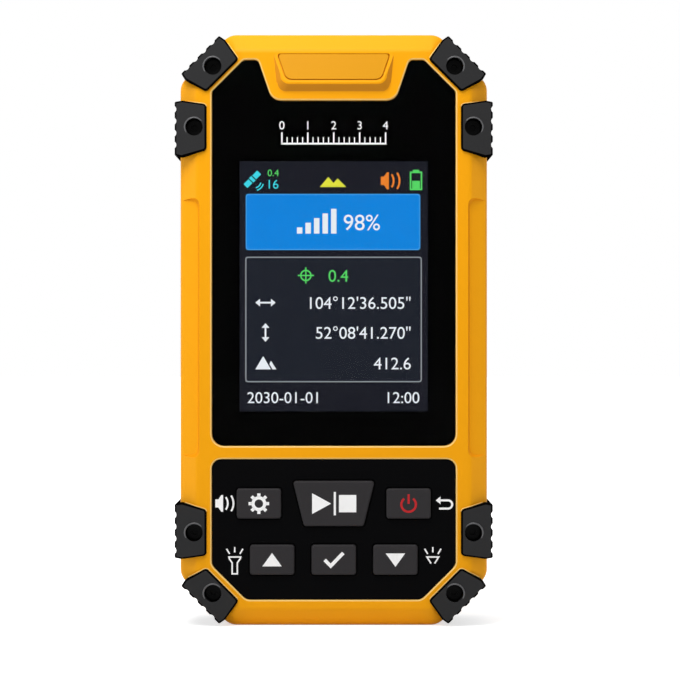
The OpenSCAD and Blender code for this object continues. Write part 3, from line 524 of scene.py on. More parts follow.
def thin_edges(x, y, z, edge):
    """Rounding of all edges of a thin part."""
    return sizes().thin


def islands(node):
    """Middles of the separate solids of a node, across and up the face."""
    bm = copied(node)
    left = set(bm.verts)
    middles = []
    while left:
        edge_of_island = [left.pop()]
        island = []
        while edge_of_island:
            vert = edge_of_island.pop()
            island.append(vert.co)
            near = {edge.other_vert(vert) for edge in vert.link_edges} & left
            left -= near
            edge_of_island.extend(near)
        across, up = [co.x for co in island], [co.z for co in island]
        middles.append(((min(across) + max(across)) / 2 / MM, (min(up) + max(up)) / 2 / MM))
    bm.free()
    return sorted(middles)


class Sign:
    """Flat sign drawn from bars, arcs, outlines and figures around an origin, in millimetres or dots."""

    # Height of the font's figures at size 1, and how near points of a sign are joined, in millimetres
    cap_height = 0.729
    join = 0.0005

    def __init__(self):
        self.bm = bmesh.new()

    def bar(self, x, y, width, height, turn=0.0):
        """Rectangle round a point, turned by degrees."""
        place = Matrix.Translation((x, y, 0)) @ Matrix.Rotation(math.radians(turn), 4, "Z")
        place = place @ Matrix.Diagonal((width, height, 1, 1))
        bmesh.ops.create_grid(self.bm, x_segments=1, y_segments=1, size=0.5, matrix=place)
        return self

    def stroke(self, points, width, closed=False):
        """Line of even width through points, mitred at its bends."""
        spots = [Vector(point) for point in points]
        count = len(spots)
        runs = [(spots[(k + 1) % count] - spots[k]).normalized() for k in range(count)]
        sides = []
        for k, spot in enumerate(spots):
            before = runs[k - 1] if k or closed else runs[k]
            after = runs[k] if k < count - 1 or closed else runs[k - 1]
            across = Vector((-before.y - after.y, before.x + after.x)).normalized()
            reach = width / 2 / across.dot(Vector((-after.y, after.x)))
            sides.append([self.bm.verts.new((*(spot + across * reach * way), 0)) for way in (1, -1)])
        for k in range(count if closed else count - 1):
            (left, right), (next_left, next_right) = sides[k], sides[(k + 1) % count]
            self.bm.faces.new((right, next_right, next_left, left))
        return self

    def arc(self, x, y, radius, width, start, sweep):
        """Ring sector, spun from its first radial edge; start and sweep are in degrees."""
        first = math.radians(start)
        ends = [
            self.bm.verts.new((x + r * math.cos(first), y + r * math.sin(first), 0))
            for r in (radius - width / 2, radius + width / 2)
        ]
        edge = self.bm.edges.new(ends)
        bmesh.ops.spin(
            self.bm, geom=ends + [edge], cent=(x, y, 0), axis=(0, 0, 1), angle=math.radians(sweep),
            steps=max(6, int(abs(sweep) / 8)), use_merge=abs(sweep) >= 360,
        )
        return self

    def outline(self, points):
        """Filled outline through a few corners."""
        self.bm.faces.new([self.bm.verts.new((x, y, 0)) for x, y in points])
        return self

    def plate(self, x, y, width, height, corner):
        """Rectangle round a point with rounded corners."""
        place = Matrix.Translation((x, y, 0)) @ Matrix.Diagonal((width, height, 1, 1))
        made = bmesh.ops.create_grid(self.bm, x_segments=1, y_segments=1, size=0.5, matrix=place)
        bmesh.ops.bevel(
            self.bm, geom=made["verts"], offset=corner, affect="VERTICES",
            segments=5, profile=0.5, material=-1,
        )
        return self

    def border(self, x, y, width, height, line):
        """Outline of a rectangle."""
        for side in (-1, 1):
            self.bar(x, y + side * (height - line) / 2, width, line)
            self.bar(x + side * (width - line) / 2, y, line, height - 2 * line)
        return self

    def figures(self, text, x, y, height, align="CENTER"):
        """Figures of a given height; y is the middle of the line."""
        curve = bpy.data.curves.new("figures", "FONT")
        curve.body = text
        curve.align_x = align
        mesh = mesh_of(curve)
        mesh.transform(Matrix.Translation((x, y - height / 2, 0)) @ Matrix.Scale(height / self.cap_height, 4))
        self.bm.from_mesh(mesh)
        bpy.data.meshes.remove(mesh)
        return self

    def print_on(self, name, x, y, z, material, body, slot, thickness, unit=1.0):
        """Gives the sign its thickness and lays it on the meter at a place and level, riding on a body.

        The unit is the length in millimetres that the sign is drawn in.
        """
        bm = self.bm
        bmesh.ops.scale(bm, vec=(unit, unit, unit), verts=bm.verts)
        bmesh.ops.remove_doubles(bm, verts=bm.verts, dist=self.join)
        for face in bm.faces:
            if face.normal.z < 0:
                face.normal_flip()
        bm.normal_update()
        raised = bmesh.ops.extrude_face_region(bm, geom=list(bm.faces), use_keep_orig=True)
        tops = [v for v in raised["geom"] if isinstance(v, bmesh.types.BMVert)]
        bmesh.ops.translate(bm, vec=(0, 0, thickness / MM), verts=tops)
        bmesh.ops.recalc_face_normals(bm, faces=bm.faces)
        upright = Matrix.Rotation(math.pi / 2, 4, "X") @ Matrix.Scale(MM, 4)
        bmesh.ops.transform(bm, matrix=Matrix.Translation(on_face(x, y, z)) @ upright, verts=bm.verts)
        return new_piece(name, bm, material, body)


# Pieces

class METER_OT_housing(bpy.types.Operator):
    """Both housing halves with rounded rims, shoulders and seam, and the bare visor plate"""

    bl_idname = "meter.housing"
    bl_label = "Housing"

    # Millimetres: the visor's bend above the plate's foot, how far in from the outside the top wall, the
    # seam's edge, the side wall and the scoops' edge reach, and the slack round seats and wells
    visor_bend = 2.0
    top_wall = 1.5
    seam_edge = 0.6
    side_wall = 1.1
    scoop_edge = 0.8
    seat_reach = 0.2
    seat_top = 0.1
    well_reach = 0.1

    # Slopes round the visor's field and in the scoops, which take a darker tone as painted shade: least and
    # greatest y of their normals
    visor_lean = (-0.85, -0.2)
    scoop_lean = (-0.6, -0.2)

    def execute(self, context):
        size, tint = sizes(), colours()
        finishes = [
            finish("housing_plastic", tint.housing, 0.46, 0.35, 0.015, drift=0.03, specular=0.12),
            # Painted highlight: light colour for the rounded rims and the seat beads
            finish("housing_rim", tint.rim, 0.36, 0.35, 0.01, drift=0.03, specular=0.25),
            # Painted shade: near-black for the walls of pockets, seats and wells
            finish("pocket_black", tint.pocket, 0.7, 0.3, 0.01, specular=0.03),
            # Painted shade: darker tone for the slopes round the visor's field
            finish("visor_wall", tint.visor_wall, 0.5, 0.35, 0.015, drift=0.03, specular=0.15),
            # Painted shade: darker tone for the walls of the scoops
            finish("scoop_wall", tint.scoop_wall, 0.5, 0.35, 0.015, drift=0.03, specular=0.1),
        ]
        visor_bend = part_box("visor_plate")[0].z / MM + self.visor_bend
        wells = islands("case_screws")
        slots_from, slots_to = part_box("sound_membrane")

        # Rims round window and keypad at the lip, whose rounding takes the painted highlight colour
        def front_rims(x, y, z, edge):
            on_rim = edge.is_convex and any(map(is_upright, edge.link_faces)) and is_level(z, LIP)
            return size.rim if on_rim and not is_on_seat(x, y) else 0.0

        def seam_edges(x, y):
            return size.seam if inset_of(x, y) < self.seam_edge else 0.0

        def front_edges(x, y, z, edge):
            if is_level(z, SPLIT):
                return seam_edges(x, y)
            if is_level(z, LIP):
                return size.visor if not edge.is_convex and y < visor_bend else 0.0
            if z > LIP:
                is_outline = any(map(is_upright, edge.link_faces))
                return size.thin if is_outline else size.visor * (y < visor_bend)
            return size.seam if y > BODY_H - self.top_wall and z < LIP - SEAT_DEPTH else 0.0

        def front_part(x, y, z, face):
            from_side, lean = inset_of(x, y), face.normal.y
            at_bumper = is_at_bumper(x, y, self.seat_reach) and from_side > self.side_wall
            is_square = is_upright(face) or abs(lean) > LEVEL
            is_deep = z < LIP - SEAT_DEPTH + LEVEL_GAP
            in_pocket = is_deep and is_square and (at_bumper or from_side > SIDE_SEAT)
            in_seat = z < LIP - self.seat_top and is_upright(face) and at_bumper
            near_well = any(math.dist((x, y), well) < WELL_R + self.well_reach for well in wells)
            in_well = z < LIP and is_square and near_well
            # Walls of the pockets under panel and window, of the bumpers' seats and of the screw wells are
            # painted near-black as shade
            if in_pocket or in_seat or in_well:
                return POCKET_SHADE
            # Slopes round the visor's raised field take a darker tone as painted shade
            if z > LIP + LEVEL_GAP and self.visor_lean[0] < lean < self.visor_lean[1]:
                return VISOR_SHADE
            # Walls of the scoops take a darker tone as painted shade
            in_grip = z < LIP and from_side > self.scoop_edge and y < BODY_H - SIDE_SEAT
            return SCOOP_SHADE if in_grip and self.scoop_lean[0] < lean < self.scoop_lean[1] else PLASTIC

        def rear_edges(x, y, z, edge):
            at_slots = slots_from.x < x * MM < slots_to.x and slots_from.z < y * MM < slots_to.z
            if z < LEVEL_GAP:
                return 0.0 if at_slots else size.visor
            return seam_edges(x, y) if is_level(z, SPLIT) else 0.0

        soften("front_housing", finishes, front_edges, front_rims, front_part, PLASTIC)
        soften("rear_housing", finishes[:1], rear_edges)
        self.seat_rims(finishes[RIM_HIGHLIGHT])
        plate = finish("visor_plate_plastic", tint.plate, 0.42, 0.5, 0.008, drift=0.03, specular=0.1)
        soften("visor_plate", [plate], thin_edges)
        return {"FINISHED"}

    def seat_rims(self, material):
        """Rounded beads along the edges of the seats above the bumpers."""
        bm = merged("front_housing")

        def is_rim(edge):
            if not is_edge(edge) or not edge.is_convex:
                return False
            x, y, z = spot_of(edge.verts)
            # Only edges whose seat wall faces down, over a bumper's upper end, get the painted highlight
            over_bumper = any(is_upright(face) and face.normal.z < -UPRIGHT for face in edge.link_faces)
            is_above = z > LIP - SEAT_DEPTH + self.seat_top
            return over_bumper and is_above and is_on_seat(x, y) and is_at_bumper(x, y, self.seat_top)

        curve = bpy.data.curves.new("seat_rims", "CURVE")
        curve.dimensions = "3D"
        curve.bevel_depth = sizes().rim / 2
        curve.bevel_resolution = 2
        curve.use_fill_caps = True
        for run in chains([edge for edge in bm.edges if is_rim(edge)]):
            spline = curve.splines.new("POLY")
            spline.points.add(len(run) - 1)
            for point, vert in zip(spline.points, run):
                point.co = (*vert.co, 1.0)
        bm.free()
        mesh = mesh_of(curve)
        beads = bmesh.new()
        beads.from_mesh(mesh)
        bpy.data.meshes.remove(mesh)
        bmesh.ops.remove_doubles(beads, verts=beads.verts, dist=JOIN / 2)
        bmesh.ops.recalc_face_normals(beads, faces=beads.faces)
        for face in beads.faces:
            face.smooth = True
        new_piece("seat_rims", beads, material, "housing")


class METER_OT_bumpers(bpy.types.Operator):
    """Corner and side bumpers with dark edges, and the collars round their screw wells"""

    bl_idname = "meter.bumpers"
    bl_label = "Bumpers"

    # Collars: radius of the bead, its tilt in degrees, how deep it sits, and the way it rises out and up
    collar = 0.2
    collar_tilt = 6.0
    collar_sink = 0.2
    collar_out, collar_up = 0.6, 0.8
    bead_sides, collar_sides = 10, 40

    # Faces painted dark as shade: height of the sloped edge, inset of the ends and length of the side
    # bumpers' tips, in millimetres, and how far the normals of slopes, ends and tips lean
    slope_height = 0.5
    end_inset = 1.0
    tip_length = 2.5
    slope_lean = (-0.9, -0.3)
    end_lean = 0.3
    tip_lean = 0.85

    def execute(self, context):
        tint = colours()
        rubber = finish("bumper_rubber", tint.bumper, 0.62, 0.3, 0.02, drift=0.12, patch=4.0, specular=0.18)
        # Painted shade: near-black with no sheen for the bumpers' sloped edges, ends and tips
        edges = finish("bumper_edge", tint.bumper_edge, 0.6, 0.3, 0.02, drift=0.12, patch=4.0, specular=0.0)
        level = front_of("corner_bumper_top_left")
        side_ends = [end.z / MM for node in BUMPERS if "side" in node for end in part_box(node)]

        # Faces given the second finish are painted dark as shade
        def corner_part(x, y, z, face):
            lean = face.normal.y
            is_slope = z > level - self.slope_height and self.slope_lean[0] < lean < self.slope_lean[1]
            is_end = abs(lean) < self.end_lean and inset_of(x, y) > self.end_inset
            return 1 if is_slope or is_end else 0

        def side_part(x, y, z, face):
            is_slant = -LEVEL < face.normal.y < self.end_lean and abs(face.normal.x) < self.tip_lean
            is_tip = is_slant and any(abs(y - end) < self.tip_length for end in side_ends)
            return 1 if is_tip else corner_part(x, y, z, face)

        for node in BUMPERS:
            soften(node, [rubber, edges], part_of=side_part if "side" in node else corner_part)
        # Painted highlight: light grey collars, tilted to show on the upper outer side of each well
        moulded = finish("collar_rubber", tint.collar, 0.3, 0.3, 0.001, drift=0.12, patch=4.0, specular=0.4)
        bm = bmesh.new()
        for x, y in islands("case_screws"):
            self.add_collar(bm, on_face(x, y, level - self.collar_sink))
        for face in bm.faces:
            face.smooth = True
        new_piece("well_collars", bm, moulded, "housing")
        return {"FINISHED"}

    def add_collar(self, bm, place):
        """Ring spun from a round bead beside the well and tilted, so that it stands out on one side only."""
        before = set(bm.verts)
        bead = bmesh.ops.create_circle(bm, segments=self.bead_sides, radius=self.collar * MM)["verts"]
        offset = Vector(((WELL_R + self.collar) * MM, 0, 0))
        bmesh.ops.translate(bm, verts=bead, vec=place + offset)
        loop = list({edge for vert in bead for edge in vert.link_edges})
        bmesh.ops.spin(
            bm, geom=bead + loop, cent=place, axis=(0, 1, 0), angle=math.tau,
            steps=self.collar_sides, use_merge=True,
        )
        rise = Vector((math.copysign(self.collar_out, place.x), 0, self.collar_up))
        tilt = Matrix.Rotation(math.radians(self.collar_tilt), 3, rise.cross(Vector((0, -1, 0))))
        bmesh.ops.rotate(bm, verts=list(set(bm.verts) - before), cent=place, matrix=tilt)
        bmesh.ops.recalc_face_normals(bm, faces=bm.faces)


class METER_OT_window(bpy.types.Operator):
    """Clear window, its black mask, and the scale printed where the window is dark"""

    bl_idname = "meter.window"
    bl_label = "Window"

    # Scale: distance below the window's top, steps to each side, their distance, and every which one is long
    scale_drop = 19.3
    scale_steps = 10
    step_gap = 1.2
    long_step = 5

    def execute(self, context):
        tint = colours()
        clear = clear_finish("window_clear", (0.95, 0.96, 0.97), 1.08, 0.02)
        soften("display_window", [clear], thin_edges)
        mask = finish("mask_black", tint.panel, 0.6, 0.2, 0.002, specular=0.04)
        paint_node("window_mask", mask)
        white = finish(
            "print_white", tint.print_white, 0.55, 0.15, 0.004, drift=0.03, patch=2.0, specular=0.2
        )
        scale = Sign().bar(0, 0, 24.4, 0.42)
        steps = range(-self.scale_steps, self.scale_steps + 1)
        for step in steps:
            width, height = (0.24, 1.5) if step % self.long_step else (0.34, 2.6)
            scale.bar(step * self.step_gap, height / 2, width, height)
        for number, step in enumerate(steps[::self.long_step]):
            scale.figures(str(number), step * self.step_gap, 4.3, 2.0)
        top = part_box("display_window")[1].z / MM
        scale.print_on(
            "window_scale", 0, top - self.scale_drop, front_of("display_window"), white,
            "housing", "clear_cover", sizes().film,
        )
        return {"FINISHED"}


class METER_OT_screen(bpy.types.Operator):
    """Display panel with its lit figures: status row, banner, framed box and foot row"""

    bl_idname = "meter.screen"
    bl_label = "Screen"

    # Lit field: its width in millimetres and in dots, and the panel's margin above it
    lit_width = 43.2
    dots_across = 240
    top_margin = 3.3

    # Thickness of a lit figure and distance of the layers, in millimetres
    lit_film = 0.01
    layer_gap = 0.012

    # Rows of the framed box, and where the signs stand in them, in dots
    box_rows = (-181, -219.5, -259)
    sign_x = 32

    def execute(self, context):
        tint = colours()
        paint_node("lcd_panel", lit_finish("screen_ground", tint.screen))
        inks = {
            name: lit_finish("lit_" + name, getattr(tint, name))
            for name in ("box", "line", "banner", "banner_edge", "white", "green", "cyan", "yellow", "orange")
        }
        left = -self.lit_width / 2
        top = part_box("lcd_panel")[1].z / MM - self.top_margin
        level = front_of("lcd_panel")

        def lay(name, sign, ink_name, layer=0):
            sign.print_on(
                "screen_" + name, left, top, level + layer * self.layer_gap, inks[ink_name],
                "housing", "screen", self.lit_film * MM, self.lit_width / self.dots_across,
            )

        lay("banner_edge", Sign().plate(119, -77, 225, 72.5, 3.5), "banner_edge")
        lay("banner", Sign().plate(119, -77, 222, 69.5, 2.5), "banner", 1)
        bars = Sign()
        for step in range(5):
            height = 8 + step * 6
            bars.bar(76 + step * 11, height / 2 - 92, 7, height)
        lay("signal", bars.figures("98%", 156, -77, 21), "white", 2)

        lay("box_line", Sign().plate(119.7, -202.7, 227.4, 161.8, 3.5), "line")
        lay("box", Sign().plate(119.7, -202.7, 224.6, 159.0, 2.5), "box", 1)
        cross = Sign().arc(84, -146, 6.5, 1.8, 0, 360).bar(84, -146, 21, 1.6).bar(84, -146, 1.6, 21)
        lay("precision", cross.figures("0.4", 126, -146, 16), "green", 2)
        rows = self.row_signs()
        for text, row in zip(("104°12'36.505\"", "52°08'41.270\"", "412.6"), self.box_rows):
            rows.figures(text, 220, row, 16, "RIGHT")
        lay("rows", rows, "white", 2)
        foot = Sign().figures("2030-01-01", 8, -303, 15, "LEFT")
        lay("foot", foot.figures("12:00", 231, -303, 15, "RIGHT"), "white")

        probe = Sign()
        for side in (-1, 1):
            probe.bar(15 + side * 5.6, -22 + side * 5.6, 9, 7, 45)
        probe.bar(15, -22, 4, 8, 45).arc(18, -25, 8, 1.6, -80, 70).arc(18, -25, 11.5, 1.6, -75, 60)
        lay("satellites", probe.figures("16", 41, -28, 12), "cyan")
        lay("quality", Sign().figures("0.4", 42, -13.5, 9), "green")
        peaks = Sign().outline([(102, -32), (113, -19), (124, -32)])
        lay("peaks", peaks.outline([(119, -27.5), (125, -21), (136, -32), (124.5, -32)]), "yellow")
        lay("speaker", speaker_sign(191, -24, 22), "orange")
        cell = Sign().border(226, -24, 16, 24, 2).bar(226, -11, 8, 2.4).bar(226, -29, 10, 10)
        lay("battery", cell, "green")
        return {"FINISHED"}

    def row_signs(self):
        """Arrows across and up, and peaks, one for each row of the framed box."""
        x, (across, up, height) = self.sign_x, self.box_rows
        signs = Sign().stroke([(x - 7, across), (x + 7, across)], 2.2)
        for side in (-1, 1):
            neck = x + side * 7
            signs.outline([(x + side * 13, across), (neck, across + 5), (neck, across - 5)])
        signs.stroke([(x, up - 6), (x, up + 6)], 2.2)
        for side in (-1, 1):
            neck = up + side * 6
            signs.outline([(x, up + side * 12), (x - 5, neck), (x + 5, neck)])
        foot = height - 8
        signs.outline([(x - 13, foot), (x - 3, height + 9), (x + 7, foot)])
        return signs.outline([(x + 5, height - 1), (x + 7, height + 3), (x + 14, foot), (x + 9, foot)])


# Height at which the speaker sign is drawn, in millimetres
SPEAKER_HEIGHT = 3.84


def speaker_sign(x, y, height):
    """Loudspeaker with two sound arcs, round the middle of its cone's mouth."""
    lower = [(-1.8, -0.94), (-1.1, -0.94), (-0.42, -1.92), (0, -1.92)]
    corners = lower + [(across, -up) for across, up in reversed(lower)]
    unit = height / SPEAKER_HEIGHT
    sign = Sign().outline([(x + across * unit, y + up * unit) for across, up in corners])
    sign.arc(x - 1.44 * unit, y, 2.52 * unit, 0.42 * unit, -35, 70)
    return sign.arc(x - 0.82 * unit, y, 3.22 * unit, 0.42 * unit, -34, 68)


def back_sign():
    """Arrow that bends back."""
    turns = [math.radians(turn) for turn in range(0, 181, 12)]
    bend = [(0.75 + 0.95 * math.sin(turn), -0.25 + 0.95 * math.cos(turn)) for turn in turns]
    sign = Sign().stroke([(-1.0, 0.7), *bend, (-1.35, -1.2)], 0.48)
    return sign.outline([(-1.0, 1.6), (-2.1, 0.7), (-1.0, -0.2)])


class METER_OT_keypad(bpy.types.Operator):
    """Black keypad panel with the signs printed beside the keys"""

    bl_idname = "meter.keypad"
    bl_label = "Keypad"

    # How far below the panel's front its rounded edges lie, in millimetres
    edge_depth = 0.1

    def execute(self, context):
        film = finish("panel_film", colours().panel, 0.5, 0.12, 0.002, specular=0.02)
        level = front_of("keypad_panel")

        def front_edges(x, y, z, edge):
            return sizes().thin if z > level - self.edge_depth else 0.0

        soften("keypad_panel", [film], front_edges)
        white = bpy.data.materials["print_white"]
        upper_row, lower_row = middle_of("key_start_stop")[1], middle_of("key_enter")[1]
        signs = (
            ("speaker", speaker_sign(0, 0, SPEAKER_HEIGHT), -25.6, upper_row),
            ("back", back_sign(), 25.7, upper_row),
            ("torch", torch_sign(True), -22.91, lower_row),
            ("lamp", torch_sign(False), 22.92, lower_row),
        )
        for name, sign, x, y in signs:
            sign.print_on("panel_" + name, x, y, level, white, "housing", "black_panel", sizes().film)
        return {"FINISHED"}


def torch_sign(with_grip):
    """Lamp head with three rays, or a whole torch with its grip."""
    line = 0.34
    sign = Sign().bar(0, 2.28, line, 1.24)
    for side in (-1, 1):
        sign.stroke([(side * 1.18, 1.32), (side * 1.9, 2.5)], line)
    if with_grip:
        half = [(1.36, 0.6), (1.26, 0.2), (0.6, -0.75), (0.6, -3.3)]
        return sign.stroke(half + [(-x, y) for x, y in reversed(half)], line, closed=True)
    return sign.stroke([(-0.42, -0.9), (-1.36, 0.6), (1.36, 0.6), (0.42, -0.9)], line)


class METER_OT_keys(bpy.types.Operator):
    """Six rubber keys and the signs printed on them"""

    bl_idname = "meter.keys"
    bl_label = "Keys"

    def execute(self, context):
        tint = colours()
        rubber = finish("key_rubber", tint.key, 0.58, 0.18, 0.012, drift=0.08, patch=3.0, specular=0.18)
        white = bpy.data.materials["print_white"]
        red = finish("print_red", tint.print_red, 0.5, 0.15, 0.004, patch=2.0, specular=0.2)
        play = Sign().outline([(-5.0, -2.4), (-0.6, 0.0), (-5.0, 2.4)])
        signs = {
            "settings": gear_sign(),
            "start_stop": play.bar(0.25, 0, 0.5, 5.4).bar(3.2, 0, 4.0, 4.0),
            "power": Sign().arc(0, -0.2, 1.68, 0.52, 128, 284).bar(0, 1.05, 0.5, 2.2),
            "up": Sign().outline([(-2.25, -1.5), (2.25, -1.5), (0, 1.6)]),
            "enter": Sign().stroke([(-2.1, 0.0), (-0.7, -1.4), (2.2, 1.6)], 0.8),
            "down": Sign().outline([(0, -1.6), (2.25, 1.5), (-2.25, 1.5)]),
        }

        def front_edges(x, y, z, edge):
            return sizes().key if z > LIP - SEAT_DEPTH else 0.0

        for stem, sign in signs.items():
            node = "key_" + stem
            soften(node, [rubber], front_edges)
            sign.print_on(
                node + "_sign", *middle_of(node), front_of(node), red if stem == "power" else white,
                stem + "_key", "key_rubber", sizes().film,
            )
        return {"FINISHED"}


def gear_sign():
    """Cog wheel with eight teeth."""
    sign = Sign().arc(0, 0, 1.35, 0.75, 0, 360)
    for tooth in range(8):
        turn = tooth * 45
        sign.bar(2.0 * math.cos(math.radians(turn)), 2.0 * math.sin(math.radians(turn)), 0.75, 0.75, turn)
    return sign


class METER_OT_top_end(bpy.types.Operator):
    """Torch lens and diode, charging port and its rubber cover"""

    bl_idname = "meter.top_end"
    bl_label = "Top end"

    def execute(self, context):
        soften("port_cover", [bpy.data.materials["bumper_rubber"]], thin_edges)
        paint_node("torch_lens", clear_finish("torch_clear", (0.94, 0.96, 0.97), 1.49, 0.05))
        paint_node("torch_led", finish("diode_resin", ink(238, 226, 150), 0.3, 0.3, 0.002))
        paint_node("charge_port", finish("port_steel", (0.56, 0.56, 0.57), 0.3, 0.1, 0.002, metallic=1.0))
        return {"FINISHED"}


class METER_OT_fittings(bpy.types.Operator):
    """Screws, inserts, strap bar and the pieces inside the housing"""

    bl_idname = "meter.fittings"
    bl_label = "Fittings"

    def execute(self, context):
        black_steel = finish("black_steel", ink(9, 9, 10), 0.5, 0.15, 0.004, metallic=0.2, specular=0.1)
        steel = finish("bright_steel", (0.55, 0.56, 0.58), 0.32, 0.2, 0.003, metallic=1.0)
        brass = finish("insert_brass", (0.62, 0.42, 0.16), 0.34, 0.2, 0.004, metallic=1.0)
        foam = finish("seal_rubber", ink(24, 24, 25), 0.8, 0.4, 0.03)
        board = finish("board_mask", ink(24, 88, 56), 0.35, 0.6, 0.01, drift=0.15, patch=3.0)
        chip = finish("chip_plastic", ink(26, 26, 29), 0.55, 0.2, 0.006)
        ceramic = finish("antenna_ceramic", ink(200, 182, 154), 0.5, 0.3, 0.01, drift=0.1)
        foil = finish("cell_foil", (0.5, 0.52, 0.55), 0.35, 1.2, 0.03, metallic=0.9)
        pale = finish("pale_plastic", ink(232, 228, 216), 0.5, 0.3, 0.006)
        lead = finish("lead_red", ink(178, 36, 30), 0.45, 0.2, 0.004)
        amber = finish("ribbon_film", ink(201, 138, 43), 0.3, 0.3, 0.003)
        weave = finish("membrane_weave", ink(46, 46, 48), 0.8, 0.25, 0.05)
        painted = (
            (black_steel, ("case_screws",)),
            (steel, ("strap_bar", "board_screws", "gps_module")),
            (brass, ("screw_inserts",)),
            (foam, ("housing_seal", "keymat", "lcd_cushion")),
            (board, ("main_board",)),
            (chip, ("processor", "buzzer")),
            (ceramic, ("gps_antenna",)),
            (foil, ("battery_cell",)),
            (pale, ("battery_tape", "battery_plug", "battery_socket")),
            (lead, ("battery_leads",)),
            (amber, ("lcd_ribbon",)),
            (weave, ("sound_membrane",)),
        )
        for material, nodes in painted:
            for node in nodes:
                paint_node(node, material)
        return {"FINISHED"}


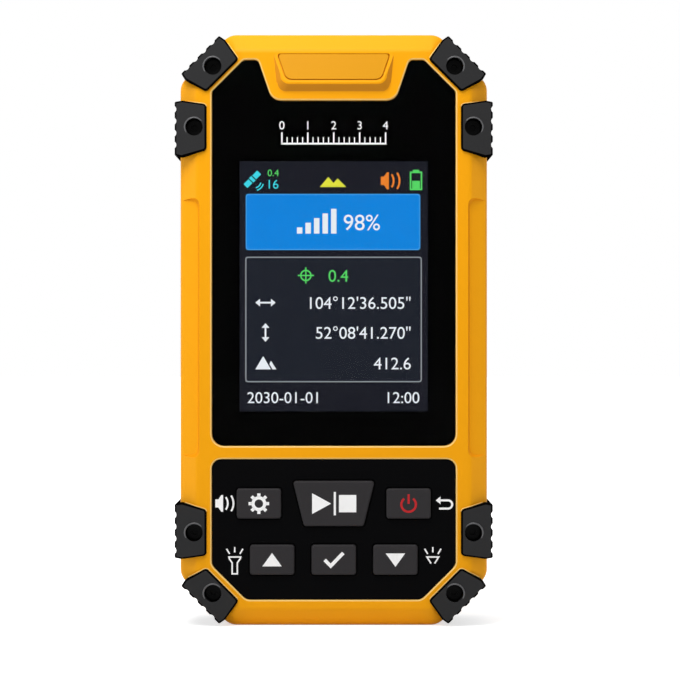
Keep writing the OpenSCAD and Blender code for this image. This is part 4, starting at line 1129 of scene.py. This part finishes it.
class METER_OT_stage(bpy.types.Operator):
    """Pale floor, soft lamps, even room light and the camera"""

    bl_idname = "meter.stage"
    bl_label = "Stage"

    # Camera: width of its sensor in millimetres, and the nearest it sees in metres
    sensor = 36.0
    nearest = 0.01

    # Lamps: place and width in metres; all face the meter's middle
    lamps = {
        "key": ((-0.06, -0.16, 0.3), 0.15),
        "top": ((0, -0.06, 0.45), 0.25),
        "left": ((-0.45, -0.08, 0.12), 0.35),
        "right": ((0.45, -0.08, 0.12), 0.35),
        "back": ((0.1, 0.4, 0.25), 0.35),
    }
    lamp_aim = (0, 0, 0.07)

    # Floor: half its width, and how its glow rises from the meter's foot outwards
    floor_reach = 4.0
    floor_glow = {"From Min": 0.05, "From Max": 0.5, "To Min": 0.62, "To Max": 1.0}

    def execute(self, context):
        scene = context.scene
        scene.view_settings.view_transform = "Standard"
        stage = scene.meter_stage
        lip_y = BACK_Y - LIP * MM
        camera = bpy.data.objects.new("camera", bpy.data.cameras.new("camera"))
        scene.collection.objects.link(camera)
        camera.location = (stage.aim_x, lip_y - stage.distance, stage.aim_z)
        camera.rotation_euler = (math.pi / 2, 0, 0)
        camera.data.sensor_width = self.sensor
        camera.data.lens = self.sensor * stage.distance / stage.view_width
        camera.data.clip_start = self.nearest
        scene.camera = camera
        self.floor(scene)
        for name, (place, width) in self.lamps.items():
            self.lamp(scene, name + "_lamp", place, width, getattr(stage, name + "_watts"))
        self.room(scene, stage.room)
        return {"FINISHED"}

    def seen(self, nodes, link):
        """Output that is 1 for what is seen directly, mirrored or through glass."""
        ray = nodes.new("ShaderNodeLightPath").outputs
        direct = math_node(nodes, link, "MAXIMUM", ray["Is Camera Ray"], ray["Is Glossy Ray"])
        return math_node(nodes, link, "MAXIMUM", direct, ray["Is Transmission Ray"])

    def floor(self, scene):
        """Wide pale floor that shows white to the camera and keeps the shadow."""
        bm = bmesh.new()
        bmesh.ops.create_grid(bm, x_segments=1, y_segments=1, size=self.floor_reach)
        mesh = bpy.data.meshes.new("floor")
        bm.to_mesh(mesh)
        bm.free()
        floor = bpy.data.objects.new("floor", mesh)
        scene.collection.objects.link(floor)
        material = bpy.data.materials.new("floor_white")
        material.use_nodes = True
        nodes, link = material.node_tree.nodes, material.node_tree.links.new
        shader = nodes["Principled BSDF"]
        set_inputs(shader, {"Base Color": (0.9, 0.9, 0.9, 1.0), "Roughness": 0.9})
        set_inputs(shader, {"Specular IOR Level": 0.0, "Emission Color": WHITE})
        place = nodes.new("ShaderNodeTexCoord")
        reach = nodes.new("ShaderNodeVectorMath")
        reach.operation = "LENGTH"
        link(place.outputs["Object"], reach.inputs[0])
        ramp = nodes.new("ShaderNodeMapRange")
        set_inputs(ramp, self.floor_glow)
        link(reach.outputs["Value"], ramp.inputs["Value"])
        glow = math_node(nodes, link, "MULTIPLY", self.seen(nodes, link), ramp.outputs["Result"])
        link(glow, shader.inputs["Emission Strength"])
        mesh.materials.append(material)

    def lamp(self, scene, name, place, width, watts):
        """Square area lamp that faces the meter's middle."""
        data = bpy.data.lights.new(name, "AREA")
        data.size = width
        data.energy = watts
        lamp = bpy.data.objects.new(name, data)
        scene.collection.objects.link(lamp)
        lamp.location = place
        lamp.rotation_euler = (Vector(self.lamp_aim) - Vector(place)).to_track_quat("-Z", "Y").to_euler()

    def room(self, scene, strength):
        """Even light, with a white background for what is seen directly, mirrored or through glass."""
        world = bpy.data.worlds.new("room")
        scene.world = world
        world.use_nodes = True
        nodes, link = world.node_tree.nodes, world.node_tree.links.new
        even, seen = nodes["Background"], nodes.new("ShaderNodeBackground")
        set_inputs(even, {"Color": WHITE, "Strength": strength})
        set_inputs(seen, {"Color": WHITE, "Strength": 1.0})
        mix = nodes.new("ShaderNodeMixShader")
        link(self.seen(nodes, link), mix.inputs["Fac"])
        link(even.outputs[0], mix.inputs[1])
        link(seen.outputs[0], mix.inputs[2])
        link(mix.outputs[0], nodes["World Output"].inputs["Surface"])


PIECES = (
    METER_OT_housing, METER_OT_bumpers, METER_OT_window, METER_OT_screen, METER_OT_keypad, METER_OT_keys,
    METER_OT_top_end, METER_OT_fittings, METER_OT_stage,
)


class METER_PT_sidebar(bpy.types.Panel):
    """Sidebar panel with the meter's settings and pieces"""

    bl_idname = "METER_PT_sidebar"
    bl_label = "Land area meter"
    bl_space_type = "VIEW_3D"
    bl_region_type = "UI"
    bl_category = "Meter"

    def draw(self, context):
        for group in ("meter_colours", "meter_sizes", "meter_stage"):
            settings = getattr(context.scene, group)
            column = self.layout.column(heading=settings.__doc__)
            for name in settings.__annotations__:
                column.prop(settings, name)
        for piece in PIECES:
            self.layout.operator(piece.bl_idname)


CLASSES = (MeterColours, MeterSizes, MeterStage, *PIECES, METER_PT_sidebar)


def register():
    for cls in CLASSES:
        bpy.utils.register_class(cls)
    bpy.types.Scene.meter_colours = bpy.props.PointerProperty(type=MeterColours)
    bpy.types.Scene.meter_sizes = bpy.props.PointerProperty(type=MeterSizes)
    bpy.types.Scene.meter_stage = bpy.props.PointerProperty(type=MeterStage)


def unregister():
    del bpy.types.Scene.meter_colours
    del bpy.types.Scene.meter_sizes
    del bpy.types.Scene.meter_stage
    for cls in reversed(CLASSES):
        bpy.utils.unregister_class(cls)


def main():
    register()
    for piece in PIECES:
        group, name = piece.bl_idname.split(".")
        getattr(getattr(bpy.ops, group), name)()


if __name__ == "__main__":
    main()
